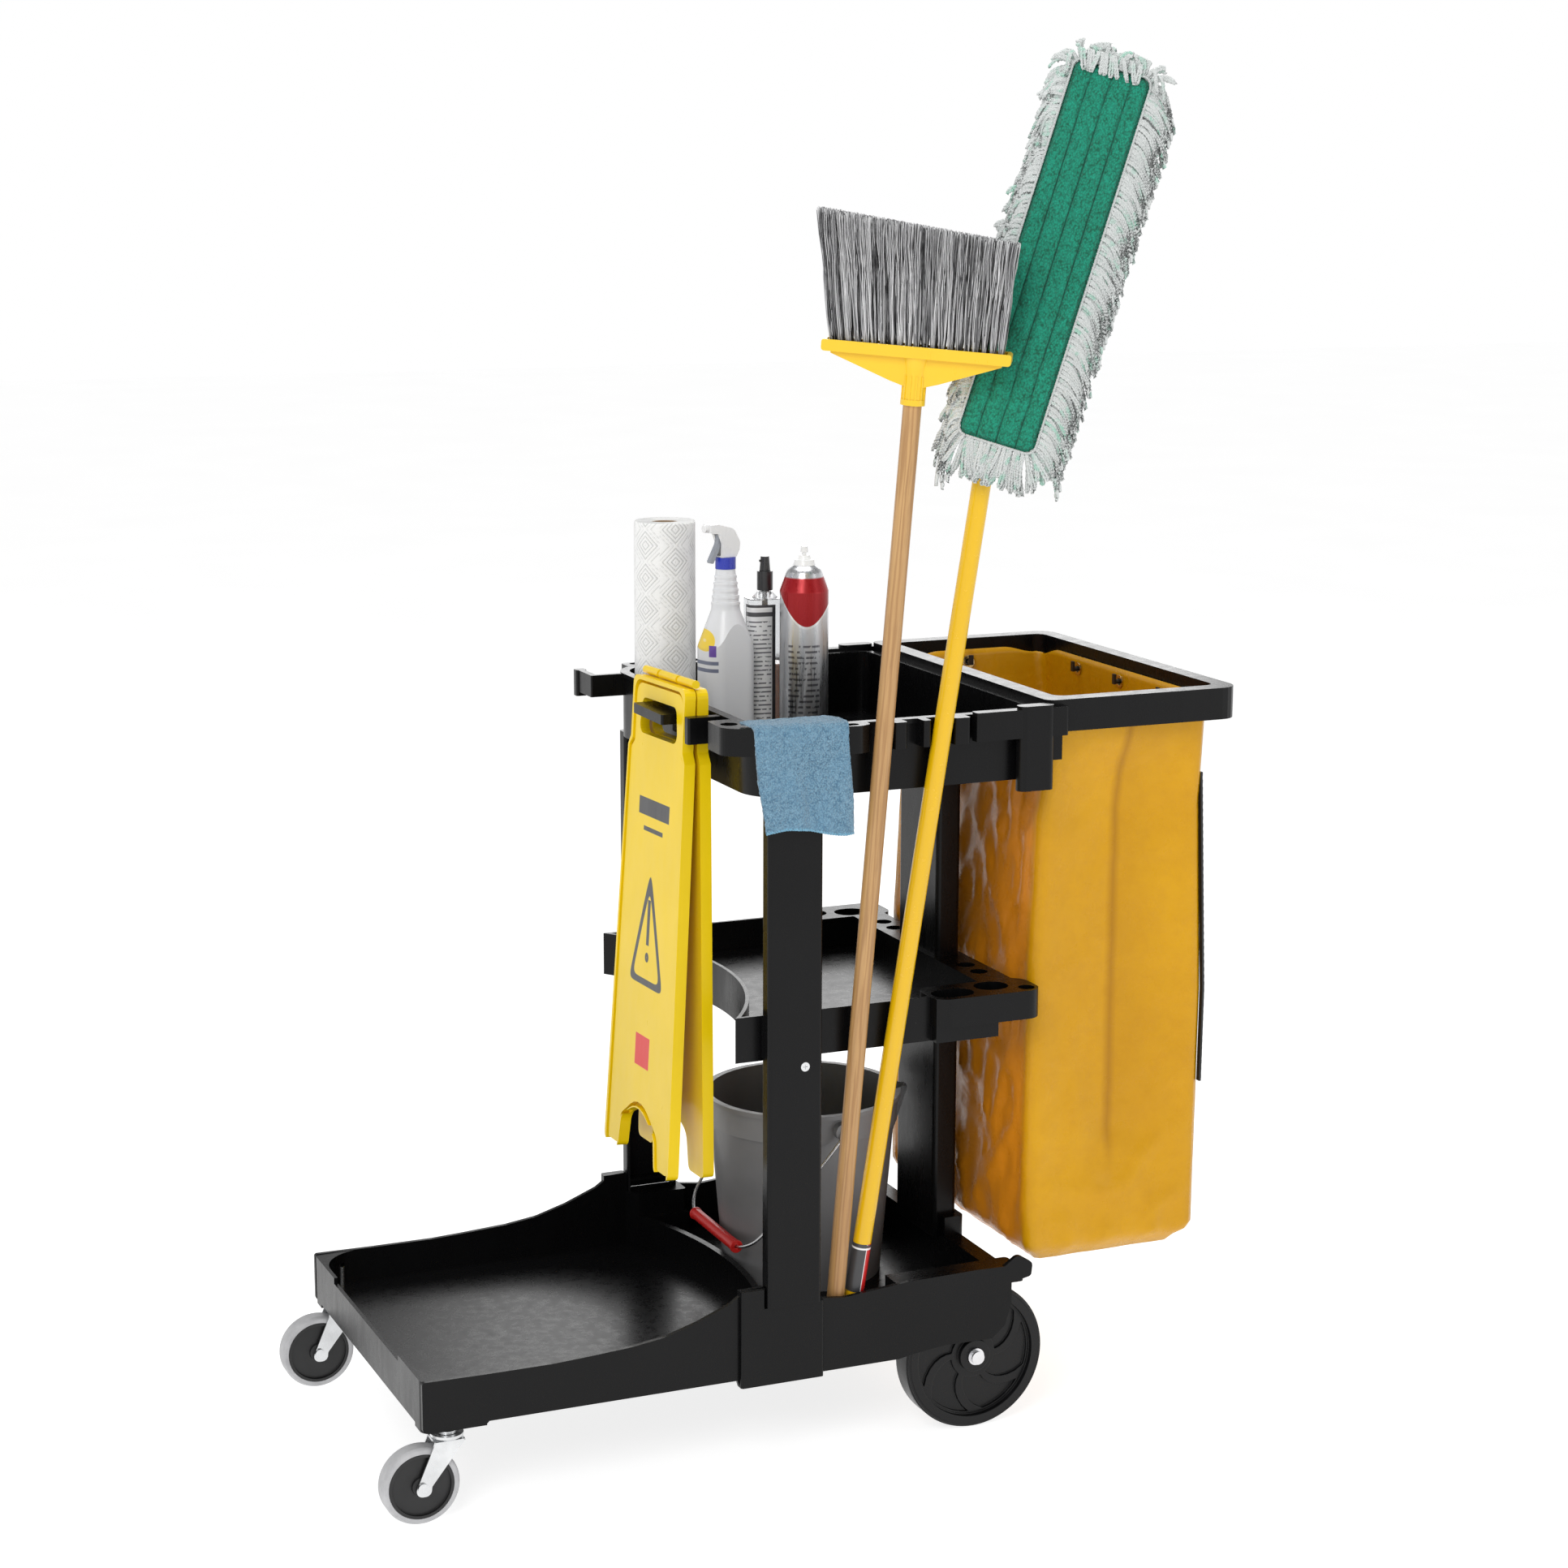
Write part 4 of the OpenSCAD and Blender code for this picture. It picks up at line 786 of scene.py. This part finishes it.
def bag_wrinkle(x, y, z, face):
    """How far the wall stands in or out of its flat place, in millimetres."""
    p = Vector((x, y, z)) / 100
    hang = smooth((930 - z) / 70) * (0.35 + 0.65 * smooth((z - BAG_LOW) / 40))

    def ridge(place, scale):
        return 1 - abs(noise.noise(place * scale))

    out = 2.2 * noise.noise(p * 0.8)
    if face in ("near", "far"):
        middle = abs(x - 985) / 118
        out += -19 * (1 - min(1, middle)) * smooth((z - 270) / 120)
        slant = Vector((p.x * 1.6 + p.z * 0.55, p.y, p.z * 0.8 - p.x * 0.35))
        out += 3.0 * (ridge(slant, 1.3) ** 6 - 0.35)
        low = smooth((520 - z) / 260)
        fan = Vector((p.x * 1.2 - p.z * 0.9, 3.1, p.z * 1.3 + p.x * 0.6))
        out += 6.5 * low * (ridge(fan, 1.15) ** 5 - 0.4)
        for crease in (742, 566, 420):
            bow = crease + 9 * noise.noise(Vector((p.x * 1.5, crease, 0)))
            out -= 1.1 * math.exp(-((z - bow) / 5) ** 2)
    else:
        slant = Vector((2.0, p.y * 1.7 + p.z * 0.4, p.z * 0.7 - p.y * 0.5))
        out += 7.0 * (ridge(slant, 0.95) ** 5 - 0.45)
        out += 4.0 * (ridge(slant + Vector((5, 3, 1)), 2.1) ** 4 - 0.4)
        out += -3.5 * (1 - min(1, abs(y) / 214)) * smooth((z - 260) / 100)
        if face == "rear":
            out *= smooth(abs(y - 210) / 40)
    return out * hang


def make_bag():
    cell = 5.25

    def lines(ends, extra, step):
        """Even lines between two ends, with a pair of lines round each extra."""
        lo, hi = ends
        count = max(2, round((hi - lo) / step))
        even = [lo + (hi - lo) * i / count for i in range(count + 1)]
        keep = [v for v in even if all(abs(v - e) > cell * 1.5 for e in extra)]
        return sorted(keep + [e + s * cell for e in extra for s in (-1, 1)])

    rows = lines((BAG_LOW, BAG_HIGH), (EYELET_Z,), 9.5)
    ring = []
    for face, (_, start, width, step, eyes) in BAG_WALLS.items():
        places = lines((start + 7, start + width - 7), eyes, step)
        if face in ("far", "front"):
            places.reverse()
        ring += [(face, (v - start) / width, v) for v in places]
    wide = len(ring)
    verts, tone, crease = [], [], []
    for z in rows:
        left, right, deep = bag_limits(z)
        soft = 0.3 * (7 + 10 * smooth((700 - z) / 400))
        for face, t, _ in ring:
            (nx, ny), _, width, _, _ = BAG_WALLS[face]
            x = max(left + soft, min(right - soft, left + (right - left) * t))
            y = max(-deep + soft, min(deep - soft, deep * (2 * t - 1)))
            x = {1: right, -1: left}.get(nx, x)
            y = {1: deep, -1: -deep}.get(ny, y)
            edge = min(t, 1 - t) * width
            out = bag_wrinkle(x, y, z, face) * smooth(edge / 45)
            sag = 0.0
            if z > 958.0:
                sag = -13 * (1 - smooth(edge / 62)) * (z - 958.0) / (BAG_HIGH - 958.0)
            verts.append(Vector((x + nx * out, y + ny * out, z + sag)))
            # tone marks the front wall for its painted light, a redder orange on that side
            tone.append(smooth(edge / 30) if face == "front" else 0.0)
            # crease holds painted shade: a dark line down the fold of the side walls and a darker
            # right half, where the wall turns into shade
            line = math.exp(-((x - 988) / 4.5) ** 2) if face in ("near", "far") else 0.0
            half = 0.3 * smooth((x - 983) / 8) * smooth((1080 - x) / 90)
            crease.append((0.75 * line + half) * smooth((z - 300) / 90))

    def cut_out(z, a, b):
        """Whether the cell above z between two lines is the hole of an eyelet."""
        return (abs(z - (EYELET_Z - cell)) < 0.01 and a[0] == b[0]
                and any(abs((a[2] + b[2]) / 2 - e) < 0.1 for e in BAG_WALLS[a[0]][4]))

    faces = [f for k, f in enumerate(grid_faces(wide, len(rows), closed=True))
             if not cut_out(rows[k // wide], ring[k % wide], ring[(k + 1) % wide])]
    # folded bottom, closing in towards the middle with a few soft folds
    last = 0
    for k in range(1, 9):
        t = k / 8
        base = len(verts)
        for i in range(wide):
            v = verts[i]
            x = v.x + (988 - v.x) * t
            y = v.y * (1 - t)
            lift = 9 * smooth(t * 1.6) + 5 * noise.noise(Vector((x, y, 0)) / 55) * smooth(t * 2)
            verts.append(Vector((x, y, BAG_LOW + max(-1, lift))))
            # half of the front wall's painted light carries on into the folded bottom
            tone.append(tone[i] * 0.5)
            crease.append(0.0)
        for i in range(wide):
            faces.append((last + (i + 1) % wide, last + i, base + i, base + (i + 1) % wide))
        last = base
    piece = new_piece("bag_shell", [CART @ v for v in verts], faces, "cart", vinyl,
                      attributes={"tone": tone, "crease": crease})
    modifier(piece, "WELD", merge_threshold=1e-5)
    modifier(piece, "SOLIDIFY", thickness=0.0011, offset=-1)
    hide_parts("bag")
    return piece


bag = make_bag()


# -------------------- broom bristles

def make_bristles():
    rng = random.Random(11)
    b = Builder()
    base_z, strands = BROOM_REACH + 54.8, 34
    for column in range(21):
        for row in range(5):
            cx = -101.5 + 203 * column / 20
            cy = -12.6 + 6.3 * row
            for _ in range(strands):
                a, r = rng.uniform(0, 6.28), 3.1 * math.sqrt(rng.random())
                x0, y0 = cx + r * math.cos(a), cy + r * math.sin(a) * 0.85
                t = (x0 + 106.5) / 213 + rng.uniform(-0.022, 0.022)
                t = min(1.0, max(0.0, t))
                x1 = -132 + 243 * t
                top = BROOM_REACH + 219 - 23 * t - 7 * rng.random() ** 2
                y1 = max(-16.4, min(16.4, y0 * 1.12 + rng.uniform(-2.2, 2.2)))
                bow = rng.uniform(-2.4, 2.4)
                path = []
                for k in range(7):
                    s = k / 6
                    crimp = 0.8 * math.sin(15 * s + a)
                    path.append(Vector((x0 + (x1 - x0) * s + bow * math.sin(5 * s) + crimp * s,
                                        y0 + (y1 - y0) * s + 0.5 * bow * math.sin(5 * s),
                                        base_z + (top - base_z) * s)))
                b.ring_tube(path, round_rings(path, lambda i: 0.68 - 0.05 * i, 3),
                            rng.random())
    piece = b.piece("bristle_tufts", "broom", bristle, BROOM)
    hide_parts("broom_bristles")


make_bristles()

# -------------------- dust mop

# Half the width and length of the pad, and its rounded corners
PAD_X, PAD_Z, PAD_CORNER = 50.0, 239.0, 12.0


def make_pad():
    nx, nz = 73, 220
    r = PAD_CORNER
    verts, tone = [], []

    def corner_in(x, z):
        """Distance from the rounded outline of the pad, inwards."""
        dx, dz = PAD_X - abs(x), PAD_Z - abs(z)
        if dx < r and dz < r:
            return r - math.hypot(r - dx, r - dz)
        return min(dx, dz)

    def fitted(x, z):
        """Pulls the corners of the grid in to the rounded outline."""
        dx, dz = abs(x) - (PAD_X - r), abs(z) - (PAD_Z - r)
        if dx > 0 and dz > 0:
            scale = max(dx, dz) / math.hypot(dx, dz)
            x = math.copysign(PAD_X - r + dx * scale, x)
            z = math.copysign(PAD_Z - r + dz * scale, z)
        return x, z

    for side in (-1, 1):
        for j in range(nz):
            for i in range(nx):
                x, z = fitted(-PAD_X + 100 * i / (nx - 1), -PAD_Z + 478 * j / (nz - 1))
                edge = smooth(corner_in(x, z) / 9 + 0.02)
                wander = 1.1 * noise.noise(Vector((z / 40, 7, 0)))
                lane = ((x + wander + PAD_X) % 25) / 25
                swell = abs(math.sin(math.pi * lane)) ** 0.5
                inner = 1 if abs(x) < PAD_X - 6 else 0
                if side < 0:
                    puff = 2.2 + 4.6 * swell + 1.1 * noise.noise(Vector((x, z, 0)) / 9)
                    y = 1.5 - (0.6 + puff) * edge - 1.2 * edge
                    # painted shade in the sewn grooves between the puffed lanes
                    painted_groove_shade = max(0.0, 1 - min(lane, 1 - lane) * 25 / 1.3) * inner
                else:
                    y = 1.5 + (5.8 + 0.5 * noise.noise(Vector((x, z, 9)) / 14)) * edge
                    painted_groove_shade = 0.0
                verts.append(Vector((x, y, z)))
                # the tone attribute carries that painted shade to the chenille
                tone.append(painted_groove_shade)
    faces = [(b, c, d, a) for a, b, c, d in grid_faces(nx, nz)]
    faces += [f[::-1] for f in grid_faces(nx, nz, nx * nz)]
    rim = (list(range(nx)) + [j * nx + nx - 1 for j in range(1, nz)]
           + [(nz - 1) * nx + i for i in range(nx - 2, -1, -1)]
           + [j * nx for j in range(nz - 2, 0, -1)])
    off = nx * nz
    for a, b in zip(rim, rim[1:] + rim[:1]):
        faces.append((a, a + off, b + off, b))
    piece = new_piece("pad_body", [PAD @ v for v in verts], faces, "mop_head", chenille,
                      attributes={"tone": tone})
    bm = bmesh.new()
    bm.from_mesh(piece.data)
    bmesh.ops.recalc_face_normals(bm, faces=bm.faces)
    bm.to_mesh(piece.data)
    bm.free()
    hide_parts("mop_pad")


def outline_points(step, inset=0.0):
    """Points, outward directions and run directions round the pad's edge, in its plane."""
    r, px, pz = PAD_CORNER, PAD_X - inset, PAD_Z - inset
    legs = [((-px + r, -pz), (px - r, -pz), (0, -1)), ((px, -pz + r), (px, pz - r), (1, 0)),
            ((px - r, pz), (-px + r, pz), (0, 1)), ((-px, pz - r), (-px, -pz + r), (-1, 0))]
    out = []
    for a, b, normal in legs:
        count = max(1, round(math.dist(a, b) / step))
        for k in range(count):
            t = k / count
            out.append(((a[0] + (b[0] - a[0]) * t, a[1] + (b[1] - a[1]) * t), normal))
        centre = (b[0] - normal[0] * r, b[1] - normal[1] * r)
        start = math.atan2(normal[1], normal[0])
        count = max(1, round(math.pi / 2 * r / step))
        for k in range(count):
            turn = start + math.pi / 2 * k / count
            ahead = (math.cos(turn), math.sin(turn))
            out.append(((centre[0] + r * ahead[0], centre[1] + r * ahead[1]), ahead))
    return out


FULL_TURN = 6.283


def twisted(points, rx, ry, pitch, sides=6, start=0.0):
    """Rings of a flattened section that turns along the path, like a plied yarn."""
    frames, run, d = frames_along(points), [0.0], 0.0
    for a, b in zip(points, points[1:]):
        d += (b - a).length
        run.append(d)

    def ring(i):
        u, v = frames[i]
        turn = start + FULL_TURN * run[i] / pitch
        out = []
        for k in range(sides):
            a = FULL_TURN * k / sides
            p, q = rx * math.cos(a), ry * math.sin(a)
            out.append(u * (p * math.cos(turn) - q * math.sin(turn))
                       + v * (p * math.sin(turn) + q * math.cos(turn)))
        return out
    return ring


# Depths at which the yarns are sewn on, from the pad's face to its back
YARN_ROWS = (-3.8, -1.4, 1.0, 3.2)


def make_fringe():
    rng = random.Random(5)
    b = Builder()
    down = (PAD.to_3x3().inverted() @ Vector((0, 0, -1))).normalized()
    down = Vector((down.x, 0, down.z)).normalized()
    step = 4.5
    steps = 17
    for y0 in YARN_ROWS:
        for (px, pz), (nx, nz) in outline_points(step, 2.0):
            out = Vector((nx, 0, nz))
            side = Vector((-nz, 0, nx))
            reach = rng.uniform(0.72, 1.02)
            downward = out.dot(down)
            lean = rng.uniform(-0.2, 0.2)
            width = rng.uniform(2.6, 5.2)
            start = Vector((px + side.x * rng.uniform(-2, 2), y0 + rng.uniform(-1, 1),
                            pz + side.z * rng.uniform(-2, 2)))
            long = 50 * reach
            over = downward < -0.35 and y0 == YARN_ROWS[0] and rng.random() < 0.55
            clump = noise.noise(Vector((px, y0 * 2, pz)) / 15)
            lean += 0.55 * clump
            drop = rng.uniform(0.7, 1.15) + 0.4 * clump if downward < 0.6 else 0.08
            away = rng.uniform(-3, 3)

            def centre(s):
                """Place at a share s of the yarn's reach."""
                d = long * s
                go = out * (d * (1 - 0.4 * drop * s)) + side * (d * lean * s)
                fall = down * (d * s * drop)
                lift = 0.0
                if over:
                    go = out * (17 * math.sin(min(1, s * 1.7) * 1.57)) + side * (d * lean * s)
                    fall = down * (46 * max(0.0, s - 0.32) ** 1.15)
                    lift = -6.5 * smooth(s * 2.2)
                elif downward < -0.35:
                    fall = down * (d * s * 0.18)
                return start + go + fall + Vector((0, away * s * s + lift, 0))

            # out along one leg, round the tip and back along the other
            legs = [[], []]
            for k in range(steps):
                s = k / (steps - 1)
                half_gap = side * width * (0.25 + 0.75 * s) * 0.5
                legs[0].append(centre(s * 0.94) + half_gap)
                legs[1].append(centre(s * 0.94) - half_gap)
            tip, half_tip = centre(1.0), side * width * 0.18
            path = legs[0] + [tip + half_tip, tip - half_tip] + legs[1][::-1]
            b.ring_tube(path, twisted(path, 2.45, 1.5, 9.5, 6, rng.uniform(0, 6)),
                        rng.random())
    # knitted edge where the yarns are sewn to the pad
    for y0 in (-5.4, -3.2):
        loop = [Vector((p[0], y0, p[1])) for p, _ in outline_points(1.6, 0.6)]
        loop.append(loop[0].copy())
        b.ring_tube(loop, twisted(loop, 2.1, 1.3, 5.0, 6), 0.3)
    piece = b.piece("fringe_yarns", "mop_head", yarn, PAD)
    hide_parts("mop_fringe")


make_pad()
make_fringe()

# -------------------- mist bottle label

def make_label():
    """A paper label wrapped from the left side round the corner to the front."""
    place, verts, run = on_tray(624, 134, -6), [], []
    bend = [math.radians(180 + 90 * k / 12) for k in range(13)]
    path = [(-27.1, -1.0)] + [(-15 + 12.1 * math.cos(a), -8 + 12.1 * math.sin(a))
                              for a in bend] + [(9.0, -20.1)]
    lengths = [0.0]
    for p, q in zip(path, path[1:]):
        lengths.append(lengths[-1] + math.dist(p, q))
    for (x, y), d in zip(path, lengths):
        for k in range(25):
            verts.append(place @ Vector((x, y, 16 + 166 * k / 24)))
            run.append(d * 35 / lengths[-1])
    faces = grid_faces(25, len(path))
    piece = new_piece("mist_label", verts, faces, "mist", label_paper, attributes={"tone": run})
    modifier(piece, "SOLIDIFY", thickness=0.00016, offset=0)


make_label()

# -------------------- bucket bail

def rounded_path(points, radius, n=8):
    """Straight runs joined by bends."""
    out = [points[0]]
    for p, q, r in zip(points, points[1:], points[2:]):
        a, b = (p - q).normalized(), (r - q).normalized()
        cut = min(radius, (p - q).length * 0.45, (r - q).length * 0.45)
        s, e = q + a * cut, q + b * cut
        for k in range(n + 1):
            t = k / n
            out.append(s * (1 - t) ** 2 + q * 2 * t * (1 - t) + e * t * t)
    out.append(points[-1])
    return out


def make_bail():
    path = rounded_path([Vector(p) for p in (
        (0, -131.8, 0), (0, -147, 0), (60, -143, 0), (190, -112, 0), (209, -82, 0),
        (209, 82, 0), (190, 112, 0), (60, 143, 0), (0, 147, 0), (0, 131.8, 0))], 26)
    path = [p for i, p in enumerate(path) if i == 0 or (p - path[i - 1]).length > 0.4]
    b = Builder()
    b.ring_tube(path, round_rings(path, 2.15, 14), 0.5)
    piece = b.piece("bail_wire", "bail", steel, BAIL)
    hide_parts("bucket_bail")


make_bail()

# -------------------- paper towel roll

def make_roll():
    place = on_tray(500, 190)
    nu, nv = ((300, 230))
    high, radius, bore, quilt = 294.0, 41.7, 20.1, 44
    soft_edge = radius - 0.8
    verts, tone = [], []
    for j in range(nv):
        z = high * j / (nv - 1)
        for i in range(nu):
            a = 2 * math.pi * i / nu
            run = i / nu * 6 * quilt
            u = run % quilt - 22
            v = (z + (22 if int(run // quilt) % 2 else 0)) % quilt - 22
            d = abs(u) + abs(v)
            line = max(0.0, math.cos(2 * math.pi * d / 6.2)) ** 3
            if d > 21:
                line *= 0.5 + 0.5 * math.cos(2 * math.pi * (u - v) / 3.4)
            if d > 34:
                line = 0.0
            edge = min(1.0, z / 3.0, (high - z) / 3.0)
            r = radius - 0.95 * line - 0.8 * (1 - edge) ** 2
            r += 0.35 * noise.noise(Vector((a * 3, z / 60, 0)))
            verts.append(Vector((r * math.cos(a), r * math.sin(a), z)))
            # painted shade in the embossed quilting lines
            tone.append(0.85 * line)
    faces = grid_faces(nu, nv, closed=True)
    rings = 46
    for k in range(1, rings + 1):
        r = soft_edge - (soft_edge - bore) * k / rings
        for i in range(nu):
            a = 2 * math.pi * i / nu
            wave = 0.45 * math.cos(2 * math.pi * (k / 2.0 + i / nu)) + 0.5 * noise.noise(
                Vector((math.cos(a) * r, math.sin(a) * r, 0)) / 6)
            fade = smooth(min(k, rings - k) / 2)
            verts.append(Vector((r * math.cos(a), r * math.sin(a), high + (wave - 0.6) * fade)))
            # painted shade between the wraps of paper on the top, every other ring
            tone.append(0.45 if k % 2 else 0.08)
    faces += grid_faces(nu, rings + 1, (nv - 1) * nu, closed=True)
    inner = len(verts) - nu
    base = len(verts)
    for r in (bore, soft_edge):
        for i in range(nu):
            a = 2 * math.pi * i / nu
            verts.append(Vector((r * math.cos(a), r * math.sin(a), 0.0)))
            # painted shade in the bore and on the underside
            tone.append(0.2)
    for i in range(nu):
        k = (i + 1) % nu
        faces.append((inner + i, inner + k, base + k, base + i))
        faces.append((base + i, base + k, base + nu + k, base + nu + i))
        faces.append((base + nu + i, base + nu + k, k, i))
    piece = new_piece("paper_roll", [place @ v for v in verts], faces, "towel", tissue,
                      attributes={"tone": tone})
    modifier(piece, "WELD", merge_threshold=1e-5)
    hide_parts("towel_roll")


make_roll()

# -------------------- terry cloth over the tray strip

def make_cloth():
    nu, step = ((92, 1.5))

    def profile(x):
        front = -279 - 13.5 * (x - 432) / 134
        return rounded_path([Vector(p) for p in (
            (0, -234, 976.4), (0, -252, 977.8), (0, front, 978.4), (0, front, 842.6))], 9, 8)

    def spaced(path, count):
        run = [0.0]
        for p, q in zip(path, path[1:]):
            run.append(run[-1] + (q - p).length)
        out, k = [], 0
        for i in range(count):
            want = run[-1] * i / (count - 1)
            while k < len(run) - 2 and run[k + 1] < want:
                k += 1
            t = (want - run[k]) / max(1e-9, run[k + 1] - run[k])
            out.append(path[k].lerp(path[k + 1], min(1, max(0, t))))
        return out

    count = round(245 / step)
    verts = []
    for j in range(nu):
        t = j / (nu - 1)
        line = spaced(profile(432 + 134 * t), count)
        for i, p in enumerate(line):
            hang = smooth((968 - p.z) / 110) if p.y < -262 else 0.0
            left = 433 + 17 * hang + 2.5 * math.sin(p.z / 21)
            right = 556 + 7 * hang - 8 * (1 - hang) * smooth((p.y + 262) / 30)
            x = left + (right - left) * t
            fold = hang * (2.6 * math.sin(t * 12.5 + 0.6) + 1.4 * math.sin(t * 23 + 2))
            fluff = 0.75 * noise.noise(Vector((x, p.y, p.z)) / 2.4)
            fluff += 0.7 * noise.noise(Vector((x, p.y, p.z)) / 9)
            dip = 1.6 * hang * noise.noise(Vector((x / 26, 4, p.z / 40)))
            low = 5 * math.sin(t * 5.2) * hang * smooth((880 - p.z) / 40)
            y = p.y - fluff * (1 if hang else 0) + min(2.2, fold + dip)
            z = p.z + fluff * (0 if hang else 1) + low
            verts.append(Vector((x, y, z)))
    faces = [(j * count + i, (j + 1) * count + i, (j + 1) * count + i + 1, j * count + i + 1)
             for j in range(nu - 1) for i in range(count - 1)]
    piece = new_piece("terry_sheet", [CART @ v for v in verts], faces, "cart", terry)
    modifier(piece, "SOLIDIFY", thickness=0.0042, offset=0)
    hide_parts("cloth")
    hem = Builder()
    edge = [verts[j * count + count - 1] + Vector((0, 0, 0.5)) for j in range(nu)]
    hem.ring_tube(edge, twisted(edge, 2.9, 2.2, 7.0, 8), 0.5)
    hem_piece = hem.piece("terry_hem", "cart", hem_blue)


@material("bound_edge")
def hem_blue(n):
    n.put("Base Color", n.two_tone(n.noise(300, 4, 0.7), (0.16, 0.42, 0.62), (0.3, 0.58, 0.76)))
    n.put("Roughness", 0.85)
    n.bump((n.wave(900, None, "X"), 0.0004, 0.7))


make_cloth()
